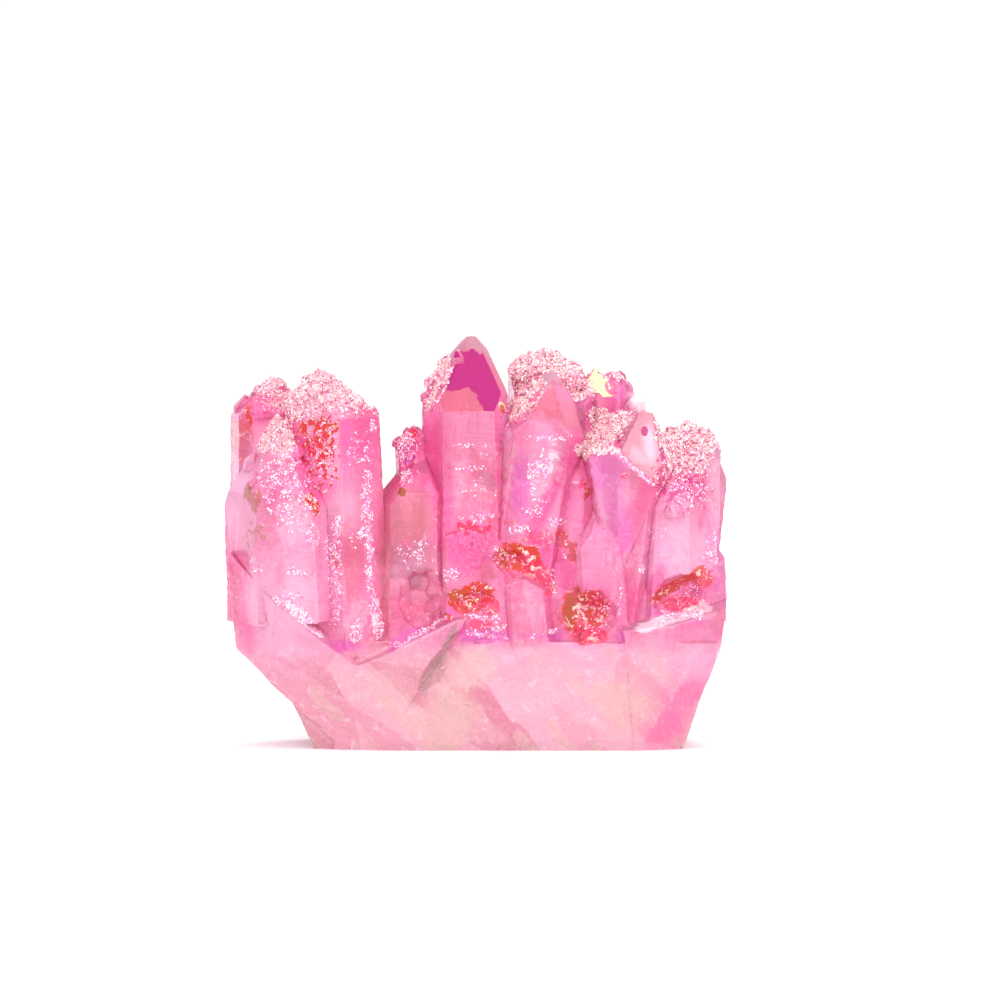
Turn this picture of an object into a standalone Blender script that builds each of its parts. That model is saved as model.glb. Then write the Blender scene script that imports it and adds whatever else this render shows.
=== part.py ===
"""Aura quartz cluster: quartz crystals grown together on a foot of broken massive quartz.

Metres, +Z up, -Y is the front. The origin is under the middle of the cluster's bounding box, on
the flat foot that the cluster was sawn to. The crystals, their drusy crowns and the broken quartz
below them grew as one piece, so all of it is one solid.
"""

import math
import random

import bmesh
import bpy
from mathutils import Matrix, Vector

# Driving dimensions, in millimetres: MM turns them into metres.
MM = 0.001
ROOT_HEIGHT = 12.5  # the crystals reach down to here inside the mass
SIDE_ROOT_HEIGHT = 17.5  # the same, at both overhanging ends
FOOT_LEFT = -22.6  # the sawn foot, from its left end to its right end, seen from the front
FOOT_RIGHT = 28.0
MIDDLE = Vector((-0.42, 1.36, 0.0))  # middle of the cluster as laid out, put over the origin
STOCK_SIZE = 200.0  # the block that every crystal and lump is cut from
SHORTEST_EDGE = 0.02
SCAR_ROUNDNESS = 3  # subdivisions of the ball that cuts a scar
RECESS_UNEVENNESS = 0.1  # share of its radius that a recess is pushed in and out

# Quartz has six prism faces, and end faces that lean in from them by 38.2 degrees.
FACES = 6
FACE_STEP = math.radians(60)
END_FACE_LEAN = math.radians(38.2)
# No two end faces sit at the same height, so they meet in short ridges as on real quartz. These
# are shares of each prism face's distance from the axis.
UNEVEN_DROPS = (0.0, 0.14, 0.05, 0.19, 0.02, 0.11)

# Small crystals of the drusy crowns.
DRUSE_SEED = 11
DRUSE_SINK = 1.2  # depth of a small crystal's foot, in its own radii
DRUSE_RISE = 1.1  # height of its tip, in its own radii
DRUSE_TRIES = 8
DRUSE_COVER = 0.8  # share of an end face's breadth that the crown covers
DRUSE_FACING = 0.36  # cosine of the widest angle between an end face and the crown's side
END_FACE_NORMAL_Z = 0.35  # a face that looks up at least this much is an end face
ALL_ROUND = (0.0, 0.0, 1.0)
TO_LEFT = (-1.0, -0.2, 0.3)

# Looks
QUARTZ_PINK = (1.0, 0.32, 0.55, 1.0)
QUARTZ_ROUGHNESS = 0.18
QUARTZ_IOR = 1.544


def chop(block, point, normal):
    """Cut a convex block with a plane, drop what is outside and close the cut."""
    cut = bmesh.ops.bisect_plane(
        block,
        geom=list(block.verts) + list(block.edges) + list(block.faces),
        dist=1e-7,
        plane_co=point,
        plane_no=normal,
        clear_outer=True,
    )
    rim = [item for item in cut["geom_cut"] if isinstance(item, bmesh.types.BMEdge)]
    if rim:
        bmesh.ops.contextual_create(block, geom=rim)


def stand(axis):
    """Rotation that stands local Z along an axis and keeps local X near world X."""
    up = axis.normalized()
    back = up.cross(Vector((1, 0, 0))).normalized()
    right = back.cross(up)
    return Matrix((right, back, up)).transposed().to_4x4()


def radial(angle):
    return Vector((math.cos(angle), math.sin(angle), 0))


def add_object(name, block, place, collection):
    """Turn a finished block into a named object, placed in metres."""
    mesh = bpy.data.meshes.new(name)
    bmesh.ops.remove_doubles(block, verts=block.verts, dist=SHORTEST_EDGE)
    bmesh.ops.recalc_face_normals(block, faces=block.faces)
    bmesh.ops.transform(block, matrix=place, verts=block.verts)
    bmesh.ops.translate(block, vec=-MIDDLE, verts=block.verts)
    bmesh.ops.scale(block, vec=(MM, MM, MM), verts=block.verts)
    block.to_mesh(mesh)
    block.free()
    thing = bpy.data.objects.new(name, mesh)
    thing.hide_render = True
    thing.display_type = "WIRE"
    collection.objects.link(thing)
    return thing


def crystal(name, collection, tip, foot, sides, turn=0.0, drops=(0.0,) * FACES, taper=1.1, lean=0.0):
    """One quartz crystal from its foot to its tip.

    sides: distance of each prism face from the axis, counted from the right (+X), by the back
    (+Y), the left and the front; turn swings them all. drops: how far each end face is lowered.
    taper: how much the prism narrows upwards, in degrees. lean: extra slope of the end faces.
    """
    foot = Vector(foot)
    axis = Vector(tip) - foot
    length = axis.length
    block = bmesh.new()
    bmesh.ops.create_cube(block, size=STOCK_SIZE)
    chop(block, Vector((0, 0, 0)), Vector((0, 0, -1)))
    narrowing = math.radians(taper)
    end_slope = END_FACE_LEAN + math.radians(lean)
    for face in range(FACES):
        out = radial(math.radians(turn) + face * FACE_STEP)
        prism_normal = out * math.cos(narrowing) + Vector((0, 0, math.sin(narrowing)))
        chop(block, out * sides[face] + Vector((0, 0, length / 2)), prism_normal)
        end_normal = out * math.cos(end_slope) + Vector((0, 0, math.sin(end_slope)))
        lowered = drops[face] + UNEVEN_DROPS[face] * sides[face]
        chop(block, Vector((0, 0, length - lowered)), end_normal)
    return add_object(name, block, Matrix.Translation(foot) @ stand(axis), collection)


def lump(name, collection, corner_low, corner_high, cuts):
    """A broken block of quartz: a box between two corners, chopped by planes (point, normal)."""
    low = Vector(corner_low)
    high = Vector(corner_high)
    block = bmesh.new()
    bmesh.ops.create_cube(block, size=1.0)
    bmesh.ops.transform(
        block,
        matrix=Matrix.Translation((low + high) / 2) @ Matrix.Diagonal((high - low).to_4d()),
        verts=block.verts,
    )
    for point, normal in cuts:
        chop(block, Vector(point), Vector(normal).normalized())
    return add_object(name, block, Matrix.Identity(4), collection)


def scoop(name, collection, centre, size, turn, unevenness):
    """A scar or recess, cut with a squashed ball whose corners are pushed in and out."""
    chance = random.Random(name)
    block = bmesh.new()
    bmesh.ops.create_icosphere(block, subdivisions=SCAR_ROUNDNESS, radius=1.0)
    for corner in block.verts:
        corner.co *= 1 + chance.uniform(-unevenness, unevenness)
    place = (
        Matrix.Translation(centre)
        @ Matrix.Rotation(math.radians(turn), 4, "Y")
        @ Matrix.Diagonal(Vector(size).to_4d())
    )
    return add_object(name, block, place, collection)


def druse(host, collection, count, size, side, seed):
    """A crown of small crystals that cover end faces of a big one and point nearly upwards.

    side: only end faces that look this way carry the crown.
    """
    chance = random.Random(seed)
    side = Vector(side).normalized()
    corners = [vertex.co / MM + MIDDLE for vertex in host.data.vertices]
    fans = []
    for polygon in host.data.polygons:
        if polygon.normal.z < END_FACE_NORMAL_Z or polygon.normal.dot(side) < DRUSE_FACING:
            continue
        ring = [corners[index] for index in polygon.vertices]
        middle = sum(ring, Vector()) / len(ring)
        ring = [middle + (corner - middle) * DRUSE_COVER for corner in ring]
        fans += [(middle, ring[place - 1], ring[place]) for place in range(len(ring))]
    areas = [(second - first).cross(third - first).length for first, second, third in fans]
    spots = []
    for _ in range(count):
        best = None
        # Of a few random places, take the one farthest from its neighbours.
        for _ in range(DRUSE_TRIES):
            first, second, third = chance.choices(fans, areas)[0]
            along = chance.random()
            across = chance.random()
            if along + across > 1:
                along, across = 1 - along, 1 - across
            place = first + (second - first) * along + (third - first) * across
            room = min(((place - spot).length for spot in spots), default=math.inf)
            if best is None or room > best[0]:
                best = (room, place)
        spots.append(best[1])
    for number, spot in enumerate(spots):
        way = Vector((0, -0.1, 1)) + Vector([chance.uniform(-0.2, 0.2) for _ in range(3)])
        radius = size * chance.uniform(0.75, 1.25)
        reach = way.normalized() * radius
        crystal(
            f"{host.name} druse {number + 1}",
            collection,
            tip=spot + reach * DRUSE_RISE,
            foot=spot - reach * DRUSE_SINK,
            sides=[radius * chance.uniform(0.85, 1.1) for _ in range(FACES)],
            turn=chance.uniform(0, 60),
        )


def build_left_group(grown):
    back_left = crystal(
        "back left crystal", grown, tip=(-29.0, 3.0, 51.6), foot=(-28.6, 3.0, SIDE_ROOT_HEIGHT),
        sides=(5.2, 5.0, 5.2, 5.2, 5.4, 5.2), turn=12, lean=6,
    )
    left = crystal(
        "left crystal", grown, tip=(-22.2, -4.0, 53.2), foot=(-20.8, -4.4, ROOT_HEIGHT),
        sides=(8.4, 7.2, 5.4, 4.9, 4.8, 7.5), lean=8,
    )
    front_left = crystal(
        "front left crystal", grown, tip=(-27.9, -6.2, 47.0), foot=(-26.8, -6.0, SIDE_ROOT_HEIGHT),
        sides=(4.0, 5.0, 7.4, 6.1, 6.8, 7.6), turn=28, lean=-8,
    )
    druse(back_left, grown, 10, 1.1, ALL_ROUND, DRUSE_SEED)
    druse(left, grown, 16, 0.7, ALL_ROUND, DRUSE_SEED + 1)
    druse(front_left, grown, 9, 1.1, ALL_ROUND, DRUSE_SEED + 2)


def build_middle_group(grown):
    crystal(
        "notch crystal", grown, tip=(-8.0, -4.0, 43.0), foot=(-8.0, -5.6, ROOT_HEIGHT),
        sides=(6.0, 4.6, 5.0, 5.9, 5.5, 5.2), turn=24, lean=-4,
    )
    nub = crystal(
        "notch nub", grown, tip=(-9.2, -3.6, 44.8), foot=(-8.4, -4.0, 30.0),
        sides=(2.6, 2.4, 2.4, 2.5, 2.6, 2.4), turn=10, lean=10,
    )
    tallest = crystal(
        "tallest crystal", grown, tip=(-1.2, -2.6, 58.1), foot=(-0.6, -2.6, ROOT_HEIGHT),
        sides=(2.6, 5.6, 5.0, 7.2, 7.5, 6.6), turn=30, drops=(0.4, 0.0, 0.0, 0.0, 2.1, 0.4),
    )
    middle = crystal(
        "middle crystal", grown, tip=(10.0, -4.4, 53.4), foot=(4.0, -4.0, ROOT_HEIGHT),
        sides=(3.4, 5.6, 4.8, 6.0, 6.0, 6.5), turn=30, drops=(0.4, 0.0, 0.0, 1.0, 0.5, 0.4), taper=-1.0,
    )
    crystal(
        "striped crystal", grown, tip=(4.8, -5.2, 46.8), foot=(4.4, -5.8, ROOT_HEIGHT),
        sides=(2.4, 2.6, 2.4, 2.4, 2.6, 2.5), turn=26,
    )
    crystal(
        "joining crystal", grown, tip=(13.4, -3.6, 45.0), foot=(12.0, -4.2, ROOT_HEIGHT),
        sides=(4.6, 5.0, 4.4, 4.4, 5.4, 5.4), turn=14, lean=-6,
    )
    crystal(
        "salmon step", grown, tip=(-2.0, -8.0, 31.6), foot=(-2.0, -8.4, ROOT_HEIGHT),
        sides=(1.6, 3.0, 1.6, 3.8, 3.0, 3.9), turn=32, lean=30,
    )
    crystal(
        "short crystal", grown, tip=(2.0, -8.6, 30.6), foot=(2.8, -8.8, ROOT_HEIGHT),
        sides=(3.2, 3.0, 2.4, 2.5, 2.9, 3.2), turn=14, lean=4,
    )
    crystal(
        "stubby crystal", grown, tip=(5.2, -9.8, 25.6), foot=(6.2, -9.8, ROOT_HEIGHT),
        sides=(4.4, 3.0, 2.6, 2.8, 3.0, 4.2), turn=36, lean=14,
    )
    druse(nub, grown, 5, 0.7, ALL_ROUND, DRUSE_SEED + 3)
    druse(tallest, grown, 6, 1.0, TO_LEFT, DRUSE_SEED + 4)
    druse(middle, grown, 6, 0.9, TO_LEFT, DRUSE_SEED + 5)


def build_right_group(grown):
    crystal(
        "pearly crystal", grown, tip=(22.6, -6.0, 46.9), foot=(17.6, -5.2, ROOT_HEIGHT),
        sides=(4.0, 5.0, 5.0, 5.4, 5.9, 5.3), turn=30, drops=(-1.4, 0.0, 0.0, -1.0, 0.2, -2.2), lean=-8,
    )
    shoulder = lump(
        "pearly shoulder", grown, (14.2, -11.4, 22.0), (22.0, 0.0, 46.0),
        [
            ((18.0, -3.2, 43.8), (-0.34, -0.5, 0.8)),
            ((14.8, -6.0, 40.0), (-0.97, -0.15, -0.12)),
            ((18.0, -10.4, 38.0), (-0.2, -0.97, -0.05)),
            ((18.6, -8.0, 42.0), (0.9, -0.42, -0.1)),
        ],
    )
    lump(
        "lilac face", grown, (14.2, -12.6, 24.0), (24.4, -5.0, 44.0),
        [
            ((15.6, -5.64, 41.56), (-0.425, -0.196, 1.0)),
            ((18.3, -11.1, 41.3), (0.64, -0.3, 0.77)),
            ((18.2, -11.85, 34.0), (-0.3, -0.95, -0.02)),
            ((21.6, -11.85, 34.0), (0.12, -0.99, -0.03)),
            ((22.4, -11.6, 31.0), (0.8, -0.5, -0.35)),
            ((14.8, -8.0, 38.0), (-0.97, -0.2, -0.15)),
        ],
    )
    right_dome = crystal(
        "right dome crystal", grown, tip=(28.6, -2.4, 45.6), foot=(27.4, -3.0, ROOT_HEIGHT),
        sides=(4.6, 4.6, 4.4, 4.4, 4.8, 4.8), turn=15, lean=12,
    )
    crystal(
        "far right crystal", grown, tip=(31.4, 0.5, 43.8), foot=(28.0, 0.0, SIDE_ROOT_HEIGHT),
        sides=(3.9, 4.6, 4.2, 4.2, 4.4, 4.2), lean=-9,
    )
    right_front = crystal(
        "right front crystal", grown, tip=(27.4, -5.6, 40.2), foot=(26.4, -6.4, ROOT_HEIGHT),
        sides=(5.2, 5.0, 4.8, 4.8, 5.6, 5.0), turn=24,
    )
    crystal(
        "right ankle crystal", grown, tip=(29.8, -3.4, 31.4), foot=(29.6, -3.0, SIDE_ROOT_HEIGHT),
        sides=(4.1, 5.6, 4.0, 4.0, 5.2, 5.4), turn=4,
    )
    crystal(
        "scratched crystal", grown, tip=(15.9, -9.0, 33.6), foot=(17.6, -9.2, ROOT_HEIGHT),
        sides=(1.9, 3.0, 1.9, 3.9, 3.3, 4.2), turn=34,
    )
    druse(shoulder, grown, 9, 0.8, ALL_ROUND, DRUSE_SEED + 8)
    druse(right_dome, grown, 10, 1.0, ALL_ROUND, DRUSE_SEED + 9)
    druse(right_front, grown, 8, 1.1, ALL_ROUND, DRUSE_SEED + 10)


def build_back_rows(grown):
    """Crystals behind the front rows: the first ones show over them, the rest only from behind."""
    dome = crystal(
        "back dome crystal", grown, tip=(9.0, 4.6, 55.4), foot=(8.2, 5.0, ROOT_HEIGHT),
        sides=(5.8, 5.4, 5.2, 4.8, 5.2, 5.6), turn=8, lean=14,
    )
    crystal(
        "cream crystal", grown, tip=(16.0, 3.0, 52.4), foot=(16.6, 3.5, ROOT_HEIGHT),
        sides=(3.2, 3.0, 2.8, 2.2, 3.2, 3.4), turn=14,
    )
    lump(
        "corner beside the cream crystal", grown, (12.4, -2.3, 36.0), (15.6, 2.0, 48.4),
        [
            ((14.0, -2.0, 47.4), (-0.2, -0.55, 0.8)),
            ((15.0, -2.2, 44.0), (0.6, -0.8, 0.05)),
        ],
    )
    back_right = crystal(
        "back right crystal", grown, tip=(18.4, 4.6, 52.0), foot=(18.4, 5.0, ROOT_HEIGHT),
        sides=(2.8, 3.4, 3.2, 3.2, 3.4, 3.0), turn=24, lean=8,
    )
    crystal(
        "thin back tip", grown, tip=(21.7, 2.0, 49.2), foot=(21.4, 2.5, ROOT_HEIGHT),
        sides=(1.6, 1.9, 1.9, 1.9, 1.9, 1.7), turn=5,
    )
    druse(dome, grown, 14, 1.1, ALL_ROUND, DRUSE_SEED + 6)
    druse(back_right, grown, 5, 0.9, ALL_ROUND, DRUSE_SEED + 7)
    hidden = [
        ("first back crystal", (-27.0, 10.0, 38.5), (-24.6, 7.0, ROOT_HEIGHT), 5.2, 10),
        ("second back crystal", (-17.6, 8.8, 33.4), (-15.4, 6.6, ROOT_HEIGHT), 5.2, 22),
        ("third back crystal", (-2.4, 9.0, 47.0), (-3.0, 6.6, ROOT_HEIGHT), 5.6, 4),
        ("fourth back crystal", (-9.4, 13.0, 31.0), (-8.8, 9.5, ROOT_HEIGHT), 4.0, 30),
        ("fifth back crystal", (7.4, 13.4, 41.2), (6.4, 8.5, ROOT_HEIGHT), 4.8, 16),
        ("sixth back crystal", (17.6, 12.0, 44.0), (16.0, 7.8, ROOT_HEIGHT), 5.0, 26),
        ("seventh back crystal", (27.0, 9.0, 38.8), (24.4, 6.0, ROOT_HEIGHT), 4.8, 8),
        ("eighth back crystal", (12.4, 15.6, 27.0), (12.0, 10.5, ROOT_HEIGHT), 3.4, 20),
        ("ninth back crystal", (-19.0, 14.0, 26.0), (-18.0, 9.5, ROOT_HEIGHT), 3.6, 12),
    ]
    for name, tip, foot, distance, turn in hidden:
        crystal(name, grown, tip=tip, foot=foot, sides=(distance,) * FACES, turn=turn)


def build_mass(grown):
    """The massive quartz between the crystals, and the blocks of the broken ledge below them."""
    lump(
        "middle mass", grown, (-25.0, -10.4, 8.0), (27.0, 10.0, 28.0),
        [
            ((-25.0, 0.0, 22.0), (-0.8, 0.0, 0.7)),
            ((27.0, 0.0, 21.0), (0.7, 0.0, 0.7)),
            ((-12.0, -10.4, 20.0), (-0.75, -0.65, 0.1)),
            ((0.0, -10.4, 21.0), (0.0, -0.8, 0.6)),
            ((0.0, 10.0, 20.0), (0.0, 0.6, 0.8)),
        ],
    )
    lump(
        "upper mass", grown, (-7.0, -4.0, 20.0), (24.0, 7.5, 38.0),
        [
            ((-7.0, 0.0, 34.0), (-0.8, 0.0, 0.7)),
            ((24.0, 0.0, 32.0), (0.75, 0.1, 0.7)),
            ((8.0, -3.0, 36.0), (0.05, -0.6, 0.75)),
            ((10.0, 7.5, 33.0), (-0.05, 0.65, 0.7)),
        ],
    )
    lump(
        "left overhang", grown, (-35.4, -14.6, 0.5), (-8.0, 14.0, 28.0),
        [
            ((-31.1, 0.0, 11.4), (-0.68, 0.0, -0.73)),
            ((-35.0, 0.0, 26.0), (-0.99, 0.0, -0.12)),
            ((-34.8, 0.0, 25.0), (-0.8, 0.1, 0.6)),
            ((-31.5, -10.0, 16.0), (-0.75, -0.65, -0.1)),
            ((-26.0, -13.2, 13.0), (-0.2, -0.93, -0.3)),
            ((-15.0, -14.2, 12.0), (0.16, -0.97, -0.15)),
            ((-23.5, -12.0, 17.4), (0.6, -0.2, 0.75)),
            ((-30.0, 9.0, 14.0), (-0.6, 0.75, -0.1)),
            ((-18.0, 13.0, 12.0), (0.1, 0.9, -0.35)),
            ((-25.0, 10.0, 19.0), (0.1, 0.4, 0.9)),
        ],
    )
    lump(
        "ledge by the groove", grown, (-20.0, -15.0, 0.0), (-1.9, 0.0, 18.2),
        [
            ((-5.0, -10.0, 17.6), (-0.42, -0.1, 0.9)),
            ((-10.0, -12.4, 0.0), (-0.16, -0.97, -0.16)),
            ((-10.0, -14.3, 12.0), (-0.1, -0.97, 0.22)),
            ((-2.0, -13.5, 17.6), (0.83, -0.2, -0.55)),
        ],
    )
    lump(
        "right shoulder", grown, (19.2, -14.4, 0.0), (34.4, 13.0, 21.0),
        [
            ((19.6, -13.0, 16.0), (-0.95, -0.25, -0.1)),
            ((34.3, 0.0, 21.6), (0.99, 0.0, -0.12)),
            ((32.9, 0.0, 9.4), (0.8, 0.0, -0.6)),
            ((FOOT_RIGHT, 0.0, 0.0), (0.93, 0.0, -0.36)),
            ((30.0, -12.0, 14.0), (0.5, -0.85, -0.12)),
            ((23.0, -12.7, 0.0), (0.02, -0.99, -0.1)),
            ((27.6, -14.4, 11.0), (0.42, -0.84, -0.35)),
            ((22.0, -10.0, 18.0), (-0.12, -0.25, 0.95)),
            ((30.0, 10.5, 14.0), (0.6, 0.8, -0.1)),
            ((26.0, 9.0, 18.4), (0.1, 0.35, 0.92)),
        ],
    )


def build_foot(foot):
    """The broken quartz that the cluster stands on, with its sawn flat underside."""
    return lump(
        "quartz_cluster", foot, (-26.2, -14.0, 0.0), (33.0, 15.2, 15.0),
        [
            ((FOOT_LEFT, 0.0, 0.0), (-0.89, 0.0, -0.45)),
            ((FOOT_RIGHT, 0.0, 0.0), (0.93, 0.0, -0.36)),
            ((-14.0, -12.0, 0.0), (-0.3, -0.92, -0.2)),
            ((4.0, -12.6, 0.0), (0.0, -0.99, -0.1)),
            ((27.6, -14.4, 11.0), (0.42, -0.84, -0.35)),
            ((8.0, -13.6, 12.0), (-0.1, -0.97, 0.3)),
            ((-16.0, 10.5, 0.0), (-0.4, 0.88, -0.24)),
            ((6.0, 12.4, 0.0), (0.06, 0.98, -0.2)),
            ((24.0, 11.0, 0.0), (0.5, 0.84, -0.2)),
            ((2.0, 15.0, 12.5), (-0.1, 0.6, 0.8)),
        ],
    )


def build_scars(scars):
    """Shell-shaped scars in the broken quartz, and the recesses between the crystals."""
    recesses = [
        # name, centre, half sizes, roll
        ("recess under the notch", (-8.0, -11.4, 20.8), (3.3, 2.4, 4.2), 6),
        ("recess left of middle", (-0.8, -13.0, 20.4), (3.4, 2.6, 2.2), -10),
        ("recess at the middle", (4.8, -11.6, 26.0), (3.0, 2.2, 2.1), 20),
        ("round recess", (15.4, -13.6, 18.6), (4.0, 3.4, 4.0), 0),
        ("right recess", (28.2, -11.4, 21.4), (4.6, 2.8, 2.8), -14),
        ("front groove", (-4.8, -15.6, 12.2), (1.7, 3.2, 7.4), 35),
    ]
    for name, centre, size, turn in recesses:
        scoop(name, scars, Vector(centre), size, turn, RECESS_UNEVENNESS)
    broken_faces = [
        # name, centre and radius of the ball, turn
        ("front scar one", (-19.0, -42.8, 7.0), 30, -20),
        ("front scar two", (7.0, -42.4, 9.0), 30, 12),
        ("front scar three", (36.1, -29.5, 0.2), 20, 20),
        ("right scar", (55.0, -1.0, 0.0), 24, 0),
        ("left scar", (-43.8, 0.0, -8.4), 24, 10),
        ("back scar one", (-8.0, 37.6, 6.0), 24, 15),
        ("back scar two", (14.0, 36.0, 5.0), 24, -10),
    ]
    for name, centre, radius, turn in broken_faces:
        scoop(name, scars, Vector(centre), (radius,) * 3, turn, 0.0)


def quartz_material():
    material = bpy.data.materials.new("aura quartz")
    material.use_nodes = True
    shader = material.node_tree.nodes["Principled BSDF"]
    shader.inputs["Base Color"].default_value = QUARTZ_PINK
    shader.inputs["Roughness"].default_value = QUARTZ_ROUGHNESS
    shader.inputs["Metallic"].default_value = 0.0
    shader.inputs["IOR"].default_value = QUARTZ_IOR
    return material


def new_collection(name):
    collection = bpy.data.collections.new(name)
    bpy.context.scene.collection.children.link(collection)
    return collection


def combine(target, operation, collection):
    """Boolean a whole collection of shapes onto the target."""
    step = target.modifiers.new(f"{operation.lower()} {collection.name}", "BOOLEAN")
    step.operation = operation
    step.operand_type = "COLLECTION"
    step.collection = collection
    step.solver = "EXACT"


def main():
    for old in list(bpy.data.objects):
        bpy.data.objects.remove(old, do_unlink=True)
    cluster = new_collection("titanium aura quartz cluster")
    foot = build_foot(cluster)
    foot.hide_render = False
    foot.display_type = "TEXTURED"
    foot.data.materials.append(quartz_material())
    groups = [
        ("massive quartz", build_mass),
        ("back rows", build_back_rows),
        ("middle group", build_middle_group),
        ("left group", build_left_group),
        ("right group", build_right_group),
    ]
    for name, build_group in groups:
        group = new_collection(name)
        build_group(group)
        combine(foot, "UNION", group)
    scars = new_collection("scars and recesses")
    build_scars(scars)
    combine(foot, "DIFFERENCE", scars)


main()
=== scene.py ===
"""The finished look of the aura quartz cluster, with its drusy crusts and its studio."""

import math

import bmesh
import bpy
import numpy as np
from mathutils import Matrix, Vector
from mathutils.kdtree import KDTree


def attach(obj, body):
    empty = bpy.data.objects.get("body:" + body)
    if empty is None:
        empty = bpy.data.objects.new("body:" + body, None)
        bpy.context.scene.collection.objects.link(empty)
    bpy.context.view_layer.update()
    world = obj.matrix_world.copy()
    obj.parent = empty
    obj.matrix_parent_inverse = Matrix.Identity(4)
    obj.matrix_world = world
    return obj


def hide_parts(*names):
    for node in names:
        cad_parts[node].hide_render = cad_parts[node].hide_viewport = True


bl_info = {
    "name": "Aura Quartz Cluster",
    "version": (1, 0, 0),
    "blender": (4, 5, 0),
    "location": "View3D > Sidebar > Quartz",
    "description": "Builds a cluster of pink aura quartz crystals with drusy crusts",
    "category": "Add Mesh",
}

MM = 0.001
NODE = "quartz_cluster"

# Shape
MERGE_DISTANCE = 0.002 * MM
FLAT_ANGLE = 0.6  # degrees between faces that are taken as one
SMOOTH_ANGLE = 22  # degrees up to which an edge is shaded smooth
CREASE_ANGLE = 0.3  # radians between two faces that meet in a ridge or valley
REFINE_ROUNDS = 14
REFINE_SHARE = 0.55  # each round splits the edges longer than this share of the longest
WEAR_ROUNDS = 3
WEAR_LOSS = 0.75  # how much less the crystals are worn than the foot
RUBBLE_SHARE = 0.7  # depth of the broken quartz on the front, in shares of the foot's
LUMP_NOISE = 4.0  # the lump noise spans about a quarter of its range
GRAIN_RISE = 0.3  # how far the middle of a grain's upper cone stands off, in its heights
GRAIN_BASE = 0.8  # how far its lower point lies below its widest part, in its heights
GRAIN_LEAN = 0.6  # radians, at most
GRAIN_GAP = 0.8  # closest distance of two grains, in grain sizes
GRAINS = {
    # name: sides, then radius and height in grain sizes
    "slim_grain": (5, 1.0, 1.5),
    "flat_grain": (4, 1.3, 0.8),
}
# Heights in millimetres between which the shape or the look passes into another
UNDERSIDE = (0.1, 1.6)  # flat, then broken
COATING_START = (13.0, 17.0)  # bare foot, then coated crystals
SCARS_END = (14.0, 18.0)
WEAR_END = (15.0, 20.0)
GROWTH_START = (16.0, 20.0)
# How much a face may look up or down until it is no longer a prism face
UPRIGHT = (0.2, 0.45)
# Depths in a spot between which its rubble and its lumps rise
RUBBLE_BORDER = (0.45, 0.65)
LUMP_BORDER = (0.4, 0.65)
BLOT_LEVEL = 0.8  # islands stand where the blots' noise is above this
FACING_SOFTNESS = 0.05  # of a spot's end where the faces turn away

# Finish
QUARTZ_IOR = 1.544
BODY_GLOSS = 0.35
BODY_COAT = 0.1
BODY_COAT_ROUGHNESS = 0.08
GRAIN_ROUGHNESS = 0.15
GRAIN_COAT = 0.6
GRAIN_COAT_ROUGHNESS = 0.05
FOOT_ROUGHNESS = 0.24
CRYSTAL_ROUGHNESS = 0.06
FOOT_CLEAR = 0.35  # the share of light that the foot lets in
CRYSTAL_CLEAR = 0.2  # how much more the crystals let in
BUMP_STRENGTH = 0.5
BUMP_HEIGHT = 0.25 * MM
# The tint goes from lilac to hot pink, the more a face looks this way.
TINT_WAY = (0.85, -0.25, 0.1)
# The coating mirrors red and violet more than green.
COATING_TINT = (1.0, 0.62, 0.88, 1.0)

# Studio, with places in metres and the aim in millimetres
CAMERA_AIM = (3.31, -1.36, 33.76)
CAMERA_HEIGHT_ANGLE = 3.6
CAMERA_DISTANCE = 2.0
CAMERA_CLIP = (0.01, 100.0)
FRAME_WIDTH = 0.1383
SENSOR_WIDTH = 36.0
WORLD_WHITE = (1.0, 1.0, 1.0, 1.0)
WORLD_STRENGTH = 1.06
FLOOR_SIZE = 40.0
FLOOR_WHITE = (0.9, 0.9, 0.9, 1.0)
FLOOR_ROUGHNESS = 0.7
SUN_TURN = (0.6, 0.3, 0.0)
SUN_POWER = 0.7
SUN_WIDTH = 60  # degrees
LIGHTS = (
    # name, place, diameter, power
    ("key_light", (-0.35, -0.5, 0.6), 0.16, 1.38),
    ("fill_light", (0.5, -0.4, 0.35), 0.16, 0.9),
    ("back_light", (0.1, 0.5, 0.5), 0.2, 1.4),
)

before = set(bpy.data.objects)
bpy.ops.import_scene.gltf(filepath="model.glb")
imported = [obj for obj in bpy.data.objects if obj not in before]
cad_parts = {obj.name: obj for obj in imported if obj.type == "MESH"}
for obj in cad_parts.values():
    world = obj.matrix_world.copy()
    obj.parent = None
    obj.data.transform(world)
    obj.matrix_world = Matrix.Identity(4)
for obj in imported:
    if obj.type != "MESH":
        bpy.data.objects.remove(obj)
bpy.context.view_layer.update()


# Sizes and colours a user would change

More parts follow.
